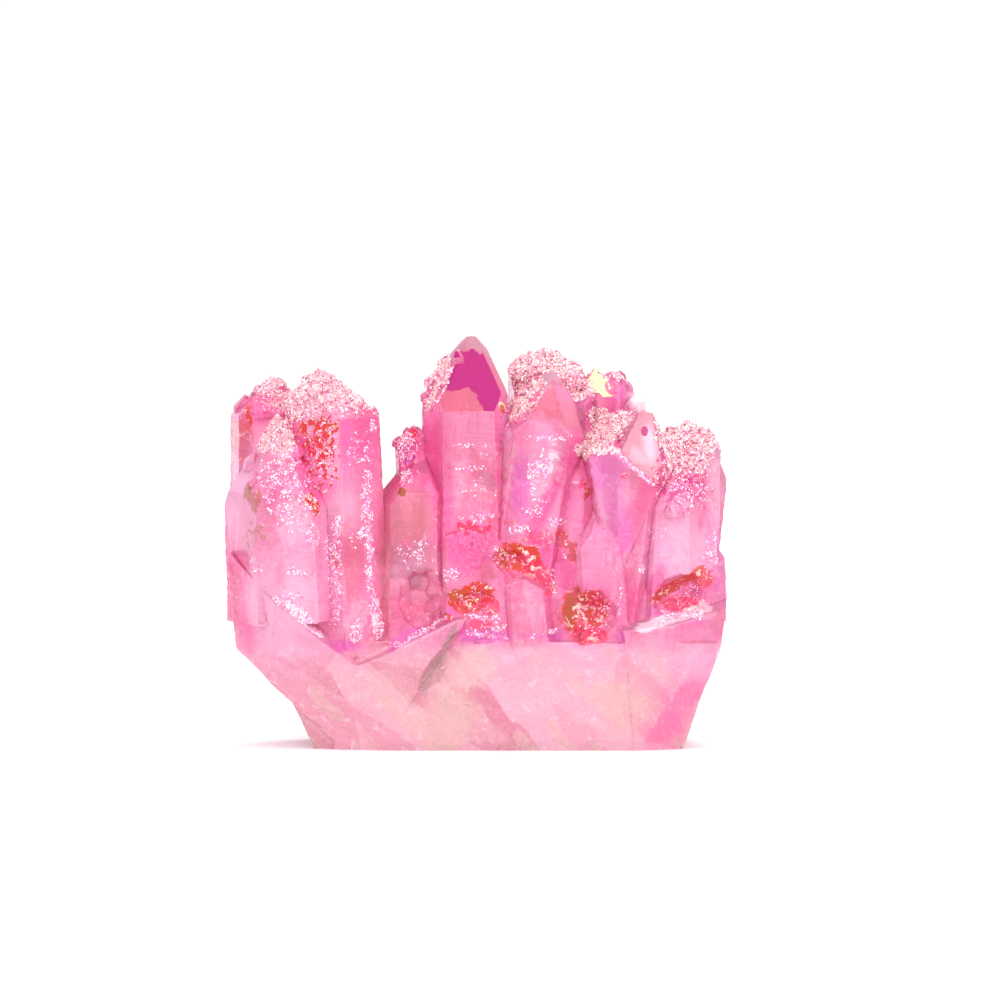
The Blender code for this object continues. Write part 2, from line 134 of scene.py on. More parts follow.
class QuartzSizes(bpy.types.PropertyGroup):
    surface_step: bpy.props.FloatProperty(
        name="Surface step", description="Longest edge of the refined crystal faces",
        default=0.72 * MM, min=0.3 * MM, unit="LENGTH",
    )
    edge_wear: bpy.props.FloatProperty(
        name="Edge wear", description="How much the edges of coated and broken quartz are rounded",
        default=0.5, min=0.0, max=1.0, subtype="FACTOR",
    )
    fracture_depth: bpy.props.FloatProperty(
        name="Fracture depth", description="Depth of the shell-shaped scars in the broken foot",
        default=0.7 * MM, unit="LENGTH",
    )
    growth_depth: bpy.props.FloatProperty(
        name="Growth depth", description="Depth of the growth steps across the prism faces",
        default=0.10 * MM, unit="LENGTH",
    )
    lump_depth: bpy.props.FloatProperty(
        name="Lump depth", description="Height of the lumps under the drusy crusts",
        default=0.45 * MM, unit="LENGTH",
    )
    grain_size: bpy.props.FloatProperty(
        name="Druse grain", description="Radius of the small points in the drusy crusts",
        default=0.11 * MM, unit="LENGTH",
    )
    grains_per_mm2: bpy.props.FloatProperty(
        name="Druse cover", description="Drusy points on each square millimetre", default=60.0,
    )
    seed: bpy.props.IntProperty(name="Seed", description="Changes the lie of the points", default=7)


def colour(name, description, red, green, blue):
    """A colour that the user can change, from its screen values."""
    linear = [((value / 255 + 0.055) / 1.055) ** 2.4 for value in (red, green, blue)]
    return bpy.props.FloatVectorProperty(
        name=name, description=description, default=linear, min=0.0, max=1.0, size=3,
        subtype="COLOR",
    )


class QuartzColours(bpy.types.PropertyGroup):
    pink: colour("Pink", "Coated faces that look to the front", 253, 159, 198)
    deep_pink: colour("Deep pink", "Darker panes inside the coated crystals", 247, 132, 171)
    lilac: colour("Lilac pink", "Coated faces that look to the left", 252, 180, 220)
    hot: colour("Hot pink", "Coated faces that look to the right", 255, 97, 168)
    salmon: colour("Salmon", "End faces with a thin coating", 238, 118, 142)
    tan: colour("Tan", "Dull faces in the notch", 226, 136, 146)
    rose: colour("Rose", "Shaded hollows", 228, 86, 126)
    foot: colour("Foot", "Broken quartz of the foot", 250, 181, 200)
    foot_deep: colour("Deep foot", "Shaded panes in the foot", 222, 134, 158)
    foot_beige: colour("Beige foot", "Beige panes in the foot", 232, 188, 182)
    grey: colour("Grey vein", "Clear, greyish quartz in the foot", 186, 150, 150)
    magenta: colour("Magenta", "Magenta interference patches", 170, 0, 104)
    orchid: colour("Orchid", "Lilac-magenta interference patches", 240, 104, 202)
    violet: colour("Violet", "Violet interference patches", 112, 16, 130)
    orange: colour("Orange", "Orange stains", 196, 58, 20)
    crimson: colour("Crimson", "Crimson stains", 216, 34, 72)
    brown: colour("Brown", "Brown stains", 158, 82, 34)
    cream: colour("Cream", "Cream-yellow faces", 236, 232, 178)
    pearl: colour("Pearl", "Pearly faces", 226, 140, 156)
    ivory: colour("Ivory", "Palest grains of the crowns", 244, 222, 210)
    # Painted highlight: pale specks and lit-looking patches laid into the colour of the coated faces
    glint: colour("Glint", "Fine pale specks on the coated faces", 255, 222, 238)
    # Painted shade: the darkest grains stand in for the shade between the grains of a crown
    pit: colour("Pit", "Darkest grains of the crowns", 150, 56, 84)
    # Painted highlight: white grains stand in for the sparkle of the crusts; the same white also
    # marks pale cracks in the foot and pale stains
    white: colour("Sparkle", "White sparkle of the crusts", 255, 246, 250)


# Places on the cluster, in millimetres

NOWHERE = (0.0, 0.0, 0.0)
FRONT = (0.0, -1.0, 0.0)
UPWARD = (0.0, -0.1, 1.0)
STRAIGHT_UP = (0.0, 0.0, 1.0)
TALLEST_END = (0.0, -0.79, 0.62)  # the front end face of the tallest crystal
WIDE = 0.3  # a spread that takes in all faces that look more or less that way


def spot(centre, size, strength=1.0, facing=NOWHERE, run=NOWHERE, blots=0.0, spread=0.86):
    """An ellipsoid on the surface.

    size: half sizes. strength: 1 for full cover. facing: only faces that look this way are in it,
    within an angle whose cosine is spread. run: how far the ellipsoid is drawn out from its
    centre. blots: 0 for a whole patch, 1 for islands.
    """
    return {"centre": centre, "size": size, "strength": strength, "facing": facing, "run": run,
            "blots": blots, "spread": spread}


# These stains hide the clear quartz below them.
OPAQUE = ("cream", "magenta", "violet", "orange", "crimson", "brown", "white", "pearl")
# Pale flecks lie in these.
RUSTY = ("orange", "crimson")
# Colours are laid over each other in this order, each with the softness of its borders.
LAYERS = (
    ("lilac", 0.3), ("salmon", 0.12), ("hot", 0.3), ("tan", 0.3), ("rose", 0.3), ("grey", 0.22),
    ("foot_beige", 0.3), ("orchid", 0.25), ("pearl", 0.1), ("glint", 0.35), ("cream", 0.03),
    ("magenta", 0.04), ("violet", 0.2), ("orange", 0.05), ("crimson", 0.08), ("brown", 0.05),
    ("white", 0.1),
)
STAINS = {
    "lilac": (
        spot((-32, -9, 37.5), (2.2, 5, 6), 0.9),
        spot((-31.3, -12, 31), (2, 4, 7), 0.7),
        spot((-24, -14.2, 27), (3, 3, 6), 0.5),
        spot((-20.4, -12.6, 29), (1.2, 2, 11), 0.8),
        spot((29.4, -12.8, 28.6), (2.6, 3, 5), 0.8),
        spot((16, -13.6, 27.4), (2.6, 2, 6), 0.2),
        spot((-26, -14.2, 20.4), (6, 4, 7.4), 0.85),
        spot((29, -12.6, 27), (5, 4, 7), 0.8),
        spot((32.8, -7.4, 24), (2, 4, 7), 0.8),
        spot((9.6, -11.8, 37), (4, 2, 8), 0.5),
        spot((31, -12, 13), (3, 5, 4), 0.6),
        spot((33.2, -6, 35.6), (2, 4, 7), 0.8),
        spot((19, -12.6, 35.4), (3.6, 3, 6.6), 0.7),
        # Painted light: lilac that lightens the shaded groove between the scratched crystal and the
        # right crystal
        spot((23.8, -11.6, 24), (1.4, 4, 9), 0.7),
    ),
    "salmon": (
        spot((-32.6, -1, 43), (1.6, 4, 4), 0.7),
        spot((-1, -9.6, 48), (5.4, 3.4, 3.4), facing=TALLEST_END),
        spot((0.6, -4, 55.6), (3.4, 3, 1.6), 0.8),
        spot((4, -5, 51), (2, 4, 3.6), 0.6, facing=(0.7, -0.4, 0.6)),
        spot((10, -8.8, 48), (3.4, 3, 4.2), facing=(0.09, -0.79, 0.6)),
        spot((13.4, -8.8, 46), (2.2, 3, 3.2), 0.6, facing=(0.76, -0.4, 0.51)),
        spot((0, -11.4, 38.6), (4.4, 2, 3), 0.5, facing=FRONT, blots=0.6),
        spot((1, -12.6, 24.6), (2.4, 2, 1), 0.8),
        spot((21.6, -12.6, 36.4), (2.2, 3, 4), 0.3),
        spot((-17, -12, 24.6), (1.8, 2, 4.4), 0.5, facing=(0.5, -0.87, 0.04)),
    ),
    "hot": (
        spot((-16.6, -11.2, 44), (4.6, 4, 4.6), 0.85, facing=(0.5, -0.87, 0.04)),
        spot((-29.6, -2.8, 46.6), (2.6, 3.4, 2.2), run=(3, 0.6, 2)),
        spot((-24.6, -9.8, 40.2), (1.5, 2, 4), 0.8),
        spot((-21, -12, 36), (2.2, 3, 2), 0.75),
        spot((-26.8, -14.4, 24.4), (0.7, 1, 2), 0.7),
        spot((-31.5, -11.4, 15.6), (1.2, 3, 2.4), 0.55),
        spot((-9.2, -8.4, 39.4), (2.8, 3, 4), 0.95),
        spot((-6, -9, 41), (2.4, 3.4, 7.6), 0.95),
        spot((-4.8, -10.6, 33), (1.6, 2.4, 7), 0.9),
        spot((-1.4, -12.2, 27.4), (3.4, 2, 3.2), 0.95),
        spot((4.2, -10.8, 38.6), (1.5, 2.4, 8.6), 0.4),
        spot((14, -10.4, 43), (1, 3, 1.6), run=(-5.4, -1, -11.4)),
        spot((13.6, -9.4, 36), (3, 4, 4.6), 0.55),
        spot((20.6, -12.9, 30.6), (1.2, 3, 3), 0.6, run=(3, 0, 5)),
        spot((12.6, -11.4, 24.6), (1.2, 2, 4.4), 0.9, run=(-4.6, 0, 3.6)),
        spot((29.4, -9.6, 34), (3.2, 4, 4), 0.75),
        spot((30.6, -11, 22.6), (3.6, 3, 1.8), 0.9),
        spot((22, -13.4, 21), (0.9, 2, 2), 0.8, run=(3.4, 1, 2.6)),
        spot((26.4, -13.8, 2.6), (4, 2.4, 2.6), 0.65, run=(2, 0, 5),
             facing=(0.42, -0.84, -0.35)),
        spot((-5.6, -14.8, 5.6), (1, 2, 4), 0.35),
        spot((16, -13.6, 27.4), (3.2, 2, 6.4), 0.2),
    ),
    "tan": (
        spot((-9, -11.2, 31.6), (3.4, 2.6, 3.4), 0.9),
        spot((-12.4, -11, 26), (1.2, 3, 9), 0.8),
        spot((-6.4, -10.4, 25), (1.4, 2, 6), 0.5),
        spot((1, -11.6, 35.4), (2.4, 2, 1.2), 0.4),
    ),
    "rose": (
        spot((-7.6, -11.6, 20.4), (3.8, 3, 3.4), 0.6),
        spot((-33.2, -9, 22), (1, 4, 5), 0.6, blots=0.6),
        spot((-12.6, -9.6, 17), (1, 3, 3), 0.6),
        spot((8.4, -12, 21.4), (1, 2, 2.6), 0.6),
        spot((12, -11.8, 18.4), (1.2, 2, 2.4), 0.5),
    ),
    "grey": (
        spot((-3, -15.2, 15.8), (0.7, 2.4, 1.6), 0.95, run=(-4, 0.6, -6.6)),
        spot((-5.6, -14.4, 9.4), (1.6, 2, 2.6), 0.5, run=(1.6, 0, -5), blots=0.5),
    ),
    "foot_beige": (
        spot((-3.6, -14.6, 4.6), (3.6, 2, 4.8), 0.9),
        spot((-0.4, -14.6, 12), (3, 2, 3), 0.8),
        spot((-12, -14.8, 9), (4, 2, 3), 0.4),
        spot((20, -15.4, 6), (3, 2, 4.6), 0.6),
    ),
    "orchid": (
        spot((-33, -1, 46), (1, 2, 1.2), 0.8),
        spot((4.2, -9.6, 44), (0.9, 2.4, 2.4), 0.7),
        spot((6.2, -11.4, 36), (1.4, 2, 4.4), 0.7),
        spot((20, 1.6, 49), (1.4, 3, 2.6), 0.6, blots=0.5),
        spot((17.8, -12.4, 38.6), (3.2, 2.6, 3.4), 0.6),
        spot((18.6, -12.9, 35.4), (1.4, 2, 3), 0.5, run=(1.6, 0, -6)),
        spot((25.6, -8, 41.4), (0.7, 2.4, 2.8), 0.7),
        spot((-18.4, -13.2, 14.4), (3, 1.6, 0.8), 0.8),
        spot((-11.6, -13.6, 14.6), (1, 1.4, 0.9), 0.9, run=(5.2, 0.8, 2.6)),
        spot((-1.6, -13, 15.8), (1, 1.4, 0.9), 0.9, run=(13, 0.6, -0.2)),
        spot((-4.4, -12.6, 17.8), (0.6, 1.6, 0.7), 0.7, run=(2, -0.2, 3.4)),
        spot((20, -14, 15.4), (0.8, 1.6, 2.2), 0.6),
        spot((27.4, -13.4, 11), (1.2, 2, 2.4), 0.35),
        spot((33, -6.4, 24.6), (1.6, 3.6, 6), 0.5, blots=0.7),
        spot((24.6, -12, 19), (1.6, 2, 0.9), 0.6, run=(5.4, -0.6, -1)),
    ),
    # Painted highlights: patches that lighten faces as if lit, also on the shaded ledge
    "glint": (
        spot((10.2, -5.5, 52), (2.2, 3, 2), 0.5),
        spot((22.8, 0.6, 47.6), (1.6, 2.6, 2.6), 0.95),
        spot((33.2, -6, 35.6), (2, 4, 6), 0.5, blots=0.3),
        spot((0.6, -4, 55.9), (3.4, 3, 2.2), 0.4),
        spot((4.4, -10.4, 41), (1.3, 3, 6), 0.5, blots=0.4),
        spot((-8.5, -12, 22.9), (2.8, 2, 3.2), 0.3),
        spot((-5.1, -11.6, 23.6), (1.6, 2, 4), 0.2),
        spot((-26, -14.2, 20.4), (5, 3, 6.4), 0.4),
        spot((29.4, -12.6, 30), (4, 3, 5), 0.35),
        spot((23.8, -9.6, 42.6), (0.8, 1.6, 2.4), 0.5, run=(0.2, -0.6, -1.6)),
        spot((21.8, -11, 40.8), (0.7, 1.6, 1), 0.3, run=(1.2, 0, -0.6)),
        spot((24.6, -14.8, 17.4), (3, 2, 0.7), 0.7, run=(5, 2.4, 1.4)),
        spot((9, -11.8, 38.4), (1.4, 1.6, 3.2), 0.6, run=(1.6, 0, 1), blots=0.4),
        spot((-24.6, -14.2, 31), (3.6, 2, 4), 0.45, blots=0.5),
        spot((-17.6, -12, 33), (2.4, 2, 3), 0.35),
        spot((-16.4, -12, 18.4), (2.4, 2, 2.6), 0.5, blots=0.4),
        spot((29, -12.6, 27), (3.4, 3, 4), 0.4, blots=0.4),
        spot((20.6, -12.6, 26.4), (2.4, 2, 2), 0.3, blots=0.5),
        spot((6.6, -12.4, 20.4), (2.6, 2, 2.6), 0.5, blots=0.3),
    ),
    "pearl": (
        spot((22.6, -9.6, 41.4), (5.6, 5, 6.4), facing=(0.07, -0.88, 0.48), spread=0.93),
    ),
    "cream": (
        spot((17, -0.6, 49.2), (1.9, 4, 4.8), facing=(0.54, -0.57, 0.62), spread=0.93),
        spot((16.5, -0.1, 50.4), (1.2, 3, 2.6), facing=(-0.23, -0.76, 0.61), spread=0.93),
        spot((3, -9.2, 47.6), (0.6, 1, 0.5), 0.9, run=(0.8, -0.2, -0.6)),
    ),
    "magenta": (
        spot((-1.2, -6.6, 52.4), (4.6, 3.6, 2.5), facing=TALLEST_END, spread=0.93),
        spot((0.4, -7.4, 51.4), (2.3, 3, 1.6), run=(2.8, -2.4, -4), facing=TALLEST_END, spread=0.93),
        spot((-3.6, -8.2, 50.2), (1.6, 2.4, 1), run=(2.4, 0.4, 0.4), facing=TALLEST_END, spread=0.93),
        spot((-25.4, -9.6, 41.8), (0.7, 1.6, 1.6), 0.6),
        spot((-9.8, -7.4, 41.6), (1.9, 3, 1.6), 0.7, blots=0.5),
        spot((15.8, -12, 19.4), (1.6, 2.6, 2), 0.6),
        spot((30.4, -9.8, 31), (1.6, 2.4, 1.4), 0.55, blots=0.5),
        spot((28.8, -10, 36.6), (4.2, 5, 3.4), 0.7, blots=0.9),
        spot((17.6, -4.4, 43.4), (0.8, 2, 1), 0.6),
        spot((23.2, -9, 43.8), (0.5, 1.4, 0.7), 0.85),
        spot((14.6, -3, 46.4), (1.8, 2.4, 2.4), 0.55),
    ),
    "violet": (
        spot((-4.4, -6.8, 51.6), (0.9, 4, 2.6), 0.5, facing=TALLEST_END, spread=0.93),
        spot((-9.9, -8.2, 40), (1.2, 2, 1.2), 0.5, blots=0.6),
        spot((31.6, -8.6, 39), (1.6, 2, 0.5), 0.5),
    ),
    "orange": (
        spot((-21.4, -10.8, 42.4), (3.4, 2.6, 6.4), facing=(-0.5, -0.87, 0), blots=0.6),
        spot((-22.8, -13.6, 34.6), (0.8, 1.6, 1.4), run=(0.5, 0.2, -0.9)),
        spot((-31.8, -2.6, 46.4), (0.5, 1.6, 1), 0.9, run=(0.5, -0.2, -1.8)),
        spot((-32.6, -2, 43.4), (1.8, 3, 3.4), 0.6, blots=1.1),
        spot((-1.4, -11.6, 20.6), (2.7, 3.4, 1.9), run=(1.6, 0, 0.7)),
        spot((-4, -12.4, 18.2), (0.8, 1.6, 0.7), 0.9),
        spot((4.6, -10.8, 26.6), (2.1, 3.4, 2), run=(2.4, 0, -0.4)),
        spot((14.8, -11.4, 19.2), (3.4, 3.6, 3.6), 0.9),
        spot((24.8, -11.6, 21), (0.8, 2.4, 0.8), 0.9, run=(6.4, 0.4, 3.6)),
        spot((31.4, -10.6, 23.4), (1.6, 2.4, 1.4), 0.8),
        spot((2.6, -11.4, 31.4), (2.4, 1.4, 0.8), 0.6, blots=0.8),
        spot((11.6, -11.4, 29.6), (1.4, 2, 0.8), 0.8, run=(2.2, 0.4, -3), blots=0.4),
        spot((3.6, -9.4, 47), (0.5, 0.9, 0.5), 0.9, run=(0.5, -0.2, -0.6)),
        spot((-19.4, -11.8, 27), (0.45, 1.2, 0.9), 0.7, run=(0.1, 0, -2.2), blots=0.4),
        spot((15.2, -11.2, 35.2), (0.5, 1.6, 1.3), 0.8, run=(0.9, 0, 1), blots=0.3),
        spot((12.6, 0.6, 51.6), (0.8, 1.6, 0.5), 0.6, blots=0.5),
    ),
    "crimson": (
        spot((-25.4, -9.6, 43), (0.8, 1.6, 1.2)),
        spot((-22, -10.9, 41), (2.6, 2, 3.6), 0.7, facing=(-0.5, -0.87, 0), blots=1),
        spot((-8.8, -6.8, 43.4), (0.8, 2, 1)),
        spot((-0.4, -11.5, 30.6), (3, 1.4, 1.2), 0.85, blots=0.45),
        spot((2.2, -12.4, 20), (1.3, 2.4, 1.6), 0.75),
        spot((0.6, -12.6, 17.4), (1.8, 1.6, 0.9), 0.7),
        spot((7.2, -11.4, 26), (1.4, 2, 2), 0.75, run=(2.6, 0, -3.4), blots=0.3),
        spot((8.6, -11.6, 28.8), (2, 1.6, 1.6), 0.6, blots=0.7),
        spot((15.4, -13, 15.8), (3, 2.6, 1.4), 0.85),
        spot((17.4, -12, 20.6), (1.6, 2.6, 2.2), 0.5),
        spot((28.6, -10.6, 20), (3.4, 2.6, 1), 0.85),
        spot((13.8, 0, 50.4), (0.9, 1.6, 0.9), 0.7, blots=0.4),
        spot((6.4, 1.8, 53.4), (0.8, 1.4, 0.5), 0.7),
        spot((19.6, -12.4, 38), (0.4, 1.4, 0.5), 0.7, run=(5.6, 0, -1), blots=0.4),
        spot((18.9, -10, 41.6), (0.5, 1.4, 0.5), 0.7, run=(0.6, -1.6, -2.6)),
        spot((22.6, -7.4, 43.8), (0.7, 1.4, 0.7), 0.4),
        spot((14.6, -11.2, 36.6), (0.5, 1.4, 0.6), 0.7, run=(1.2, 0, 0.4)),
        spot((28.6, -9.8, 38.4), (3.4, 4, 1.6), 0.6, blots=1.1),
        spot((33.2, -6.6, 20.4), (0.8, 2, 1), 0.7, blots=0.4),
    ),
    "brown": (
        spot((-31.4, -12.2, 35.4), (0.6, 3, 1.5), 0.8, run=(0.9, -0.4, -1.4), blots=0.2),
        spot((-29.9, -12.8, 35), (0.6, 3, 1.2), 0.8, blots=0.2),
        spot((-30.6, -12.6, 29.6), (1.5, 3, 1.5), 0.7, blots=0.8),
        spot((-28, -13.2, 41), (0.5, 1, 0.5), 0.8),
        spot((-10.3, -10.6, 35.5), (0.8, 1.6, 0.62), 0.95, blots=0.2),
        spot((-2.8, -12.4, 21.4), (1.2, 2, 1), 0.5),
        spot((12.9, -13, 19), (1, 2.4, 2.6), 0.6),
        spot((4, -11.8, 26.2), (1.2, 2, 1.2), 0.45),
    ),
    "white": (
        spot((-18.6, -11.4, 30.8), (0.8, 1.2, 1.5), 0.8),
        spot((-25.4, -14.4, 19.8), (1, 1.2, 0.8), 0.8, run=(3, 0.2, -2.8), blots=0.3),
        spot((-13.8, -10.8, 17.6), (0.9, 1.2, 1.6), 0.7, blots=0.3),
        spot((9.4, -11.8, 38.8), (0.6, 1.2, 2.2), 0.4, run=(1.2, 0, 0.8), blots=0.8),
        spot((-28.8, -1.4, 50), (2, 2, 0.7), 0.5, blots=0.5),
        # Painted light: white over the ledge top, which lies in the shade of the crystals above
        spot((23, -14.8, 17), (1, 2.4, 0.8), 0.55, run=(8.6, 3.4, 2.6)),
        spot((22.8, 0.6, 47.8), (1.4, 2.4, 2.2), 0.6),
    ),
}
# Drusy crusts: each one is a piece of its own.
CRUSTS = {
    "left_crown_druse": (
        spot((-21.4, -4.6, 50.6), (9.2, 10, 6.2), facing=UPWARD, spread=WIDE),
        spot((-22.8, -9.8, 47), (2.4, 2, 1.8), 0.6, blots=0.5),
        spot((-24.6, -8, 47.4), (1.8, 3, 2.4), 0.9),
        spot((-28.7, 1.4, 50.8), (5, 6, 2.6), 0.9, facing=UPWARD, spread=WIDE),
        spot((-27.6, 4.6, 46.6), (2.6, 3.4, 1.8)),
        spot((-28.6, -8.8, 44), (2.9, 3.6, 3.4)),
        spot((-26.6, -10, 42), (1.8, 3, 3), 0.9),
        spot((-26.8, 9, 36.8), (6, 6, 3.2), 0.8, facing=STRAIGHT_UP, spread=WIDE),
        spot((-17.4, 8, 32.2), (5.4, 5.4, 2.6), 0.7, facing=STRAIGHT_UP, spread=WIDE),
    ),
    "right_crown_druse": (
        spot((-5.4, -4, 50), (2.6, 6, 4.8), facing=(-0.7, -0.1, 0.62), spread=0.5),
        spot((8.4, 2.4, 52.6), (6.8, 7.4, 4.8), facing=UPWARD, spread=0.1),
        spot((6.2, -5.4, 48.4), (3.4, 6, 5), facing=(-0.58, -0.4, 0.71)),
        spot((5.2, -7.4, 44.4), (1, 2, 1.6), 0.7),
        spot((5.8, -2, 51.2), (1.7, 5, 2.6), 0.9),
        spot((13.8, -1, 49), (2.6, 2.4, 2.6), 0.8),
        spot((18, -4.4, 43.6), (4.4, 5, 3.6), facing=(-0.34, -0.5, 0.8), spread=0.6),
        spot((15.8, -8, 41.2), (2.6, 4.4, 1.4), 0.9),
        spot((17, -2.6, 45.6), (1.8, 2.4, 1.3), 0.9),
        spot((17.8, -11.6, 41.2), (2.2, 2, 0.7), 0.8),
        spot((28.7, -4.2, 42.6), (5.4, 7, 4.6), facing=UPWARD, spread=0.15),
        spot((29, -7.6, 40.4), (3.6, 3, 2.8), 0.9),
        spot((18.8, 5, 51), (3.4, 4.6, 1.6), 0.8, facing=(0.2, 0.5, 0.9), spread=WIDE),
        spot((-2.6, 8.8, 45.4), (5.6, 5.4, 3.2), 0.8, facing=STRAIGHT_UP, spread=WIDE),
        spot((7.6, 12, 39.6), (5, 5.4, 2.8), 0.8, facing=STRAIGHT_UP, spread=WIDE),
        spot((17.8, 10.6, 42.4), (5, 5.4, 2.6), 0.7, facing=STRAIGHT_UP, spread=WIDE),
        spot((27, 7.6, 37.2), (5, 5.4, 2.6), 0.7, facing=STRAIGHT_UP, spread=WIDE),
    ),
    "front_glitter": (
        # the front left crystal
        spot((-26.4, -12.8, 38), (3.4, 3, 4.4), 0.75, blots=0.55),
        spot((-25.2, -13.8, 33.2), (3.6, 2, 3.2), 0.6, blots=0.65),
        spot((-23.4, -14.4, 30.4), (1, 1.4, 1), 0.7, run=(1.6, 0, -1), blots=0.5),
        spot((-18.9, -11.6, 31.4), (0.8, 1.4, 1.2), run=(-0.2, 0, -1.6)),
        spot((-19.6, -12, 28.4), (1.1, 1.4, 2), 0.85, run=(0.6, 0.2, -10.4), blots=0.5),
        spot((-30, -12.8, 25.4), (0.9, 1.6, 1.6), 0.6, blots=0.6),
        spot((-25.4, -14.4, 24.8), (0.9, 1.4, 0.6), 0.7, run=(1.6, 0, -0.2), blots=0.4),
        spot((-27, -14.2, 20.6), (1, 1.4, 1.1), 0.8, run=(2, 0, 0.4), blots=0.4),
        spot((-24.8, -14.4, 19.4), (1, 1.4, 0.9), run=(2.6, 0.3, -2.6), blots=0.1),
        spot((-21.6, -13.2, 15.9), (0.8, 1.4, 0.6), 0.9),
        # the left crystal
        spot((-14.2, -9.9, 44.4), (0.5, 1.6, 1), 0.8, blots=0.3),
        spot((-15, -10.4, 36.6), (0.9, 1.6, 1.8), 0.85, run=(-0.2, -0.2, -6), blots=0.4),
        spot((-14.8, -10.8, 30.2), (0.7, 1.4, 2), 0.85, run=(0.3, 0, -7), blots=0.4),
        spot((-14, -10.8, 19.4), (0.8, 1.4, 2), run=(0.6, 0, -2.4), blots=0.1),
        spot((-17, -11.9, 29), (1, 1.4, 1.6), 0.6, blots=0.7),
        spot((-16.6, -12.4, 15.6), (1, 1.4, 1.2), 0.95, run=(0.5, 0.2, 1.4), blots=0.2),
        spot((-16, -10.8, 41), (1.8, 1.6, 2.6), 0.5, blots=0.95),
        spot((-29, -1.4, 49.4), (2.2, 2.4, 1), 0.8, blots=0.5),
        spot((-21.6, -10.8, 40.4), (2.6, 1.6, 4.2), 0.35, blots=0.9),
        # notch
        spot((-9.9, -7.4, 41.6), (2, 3, 2.2), 0.8, blots=0.35),
        spot((-9.8, -8.6, 37.8), (1.7, 2.4, 1.5), 0.8, blots=0.4),
        spot((-8.2, -11.6, 27.6), (2.4, 1.6, 2.4), 0.4, blots=0.7),
        spot((-3.6, -11.9, 24.2), (1.4, 1.6, 1.2), 0.85, blots=0.4),
        # the tallest crystal and its neighbours
        spot((-3.2, -11.3, 41.9), (0.3, 1, 0.3), 0.7, run=(4.6, 0, 0), blots=0.5),
        spot((0.4, -11.3, 40.8), (0.3, 1, 0.3), 0.7, run=(2.8, 0, 0), blots=0.5),
        spot((-3.4, -11.3, 38.7), (0.3, 1, 0.3), 0.7, run=(4.8, 0, 0.2), blots=0.5),
        spot((-0.4, -11.4, 35.6), (2.6, 1, 1.6), 0.3, blots=0.95),
        spot((0.6, -11.6, 31.8), (2.8, 1.2, 0.9), 0.75, blots=0.5),
        spot((4.6, -9.8, 46.6), (0.8, 1.8, 1), 0.8, blots=0.2),
        spot((10.2, -11.8, 43), (3, 1.4, 0.5), 0.8, blots=0.6),
        spot((7.8, -11.8, 38.2), (0.8, 1.2, 2.6), 0.95, run=(1.4, 0, 0.8), blots=0.35),
        spot((8.2, -11.6, 33.6), (1.6, 1.2, 1.6), 0.35, blots=0.7),
        spot((6.2, -11.2, 30.4), (1.8, 1.2, 0.7), 0.9, blots=0.3),
        spot((11.2, -11.4, 31.4), (1.6, 1.2, 0.8), 0.9, blots=0.3),
        spot((12.2, -11.4, 27), (0.6, 1.2, 2.6), 0.85, run=(-1.4, 0, -3), blots=0.4),
        # recesses
        spot((-0.6, -12.2, 20.8), (2.4, 2.6, 1.6), 0.3, blots=1.2),
        spot((4.6, -11.4, 26.8), (2.4, 2.4, 1.4), 0.3, blots=1.2),
        spot((16.2, -11.8, 19), (2.2, 2.6, 2.8), 0.3, blots=1.2),
        spot((29.6, -10.6, 21), (2.6, 2.4, 1.4), 0.3, blots=1.2),
        # the ledge
        spot((-12.4, -13.4, 14.8), (0.8, 1.2, 0.5), 0.95, run=(2.4, 0, -0.2), blots=0.2),
        spot((-9.6, -13.4, 15.2), (0.4, 1.4, 0.4), 0.95, run=(5.4, 0.8, 3), blots=0.2),
        spot((-1.4, -12.9, 18.4), (0.4, 1.4, 0.4), 0.9, run=(4.4, 0.2, -0.2), blots=0.3),
        spot((-1.2, -13, 16.2), (0.4, 1.4, 0.4), run=(5.4, -0.8, -0.8), blots=0.15),
        spot((5.4, -13.4, 15.2), (0.4, 1.4, 0.4), run=(5.6, 1.2, 1.2), blots=0.15),
        spot((8, -12.8, 15.8), (1.6, 1.6, 0.6), 0.8, blots=0.5),
        spot((2.4, -13.4, 17), (1.8, 1.6, 0.8), 0.7, blots=0.6),
        spot((19.6, -14, 17), (0.3, 1.4, 0.6), 0.6, run=(0.4, 0, 6), blots=0.5),
        spot((25.6, -11.8, 18.9), (0.4, 1.6, 0.4), run=(4.6, -0.6, -0.4), blots=0.2),
        spot((30.4, -12.6, 18.6), (0.8, 2, 0.8), 0.95, run=(1.6, 0.4, 2.2), blots=0.3),
        # the right side
        spot((18.9, -12, 41.4), (0.35, 1.4, 0.35), 0.95, run=(5.2, -0.9, -4.6), blots=0.2),
        spot((24.6, -14.8, 17.6), (0.5, 1.4, 0.4), 0.6, run=(5, 2.6, 1.6), blots=0.5),
        spot((28.8, -10, 36.8), (4.2, 5, 3.4), 0.6, blots=0.75),
        spot((25, -11.4, 30.4), (1.6, 1.6, 1), 0.6, blots=0.7),
        spot((22.8, -12.6, 25), (0.6, 1.2, 0.7), 0.95),
        spot((23.2, -12.8, 22.4), (0.4, 1.2, 0.7), 0.9),
        spot((32.4, -8, 27), (1.4, 3, 2.6), 0.5, blots=0.85),
        spot((27.2, -14, 9.8), (0.4, 1.2, 1.2), 0.7, blots=0.4),
    ),
}
# Grain sizes, in shares of the druse grain
GRAIN_SHARES = {"left_crown_druse": 0.95, "right_crown_druse": 1.3, "front_glitter": 1.0}
# How far a crust's lumps rise, in shares of the lump depth
LUMPS = {"left_crown_druse": 0.18, "right_crown_druse": 0.6, "front_glitter": 0.15}
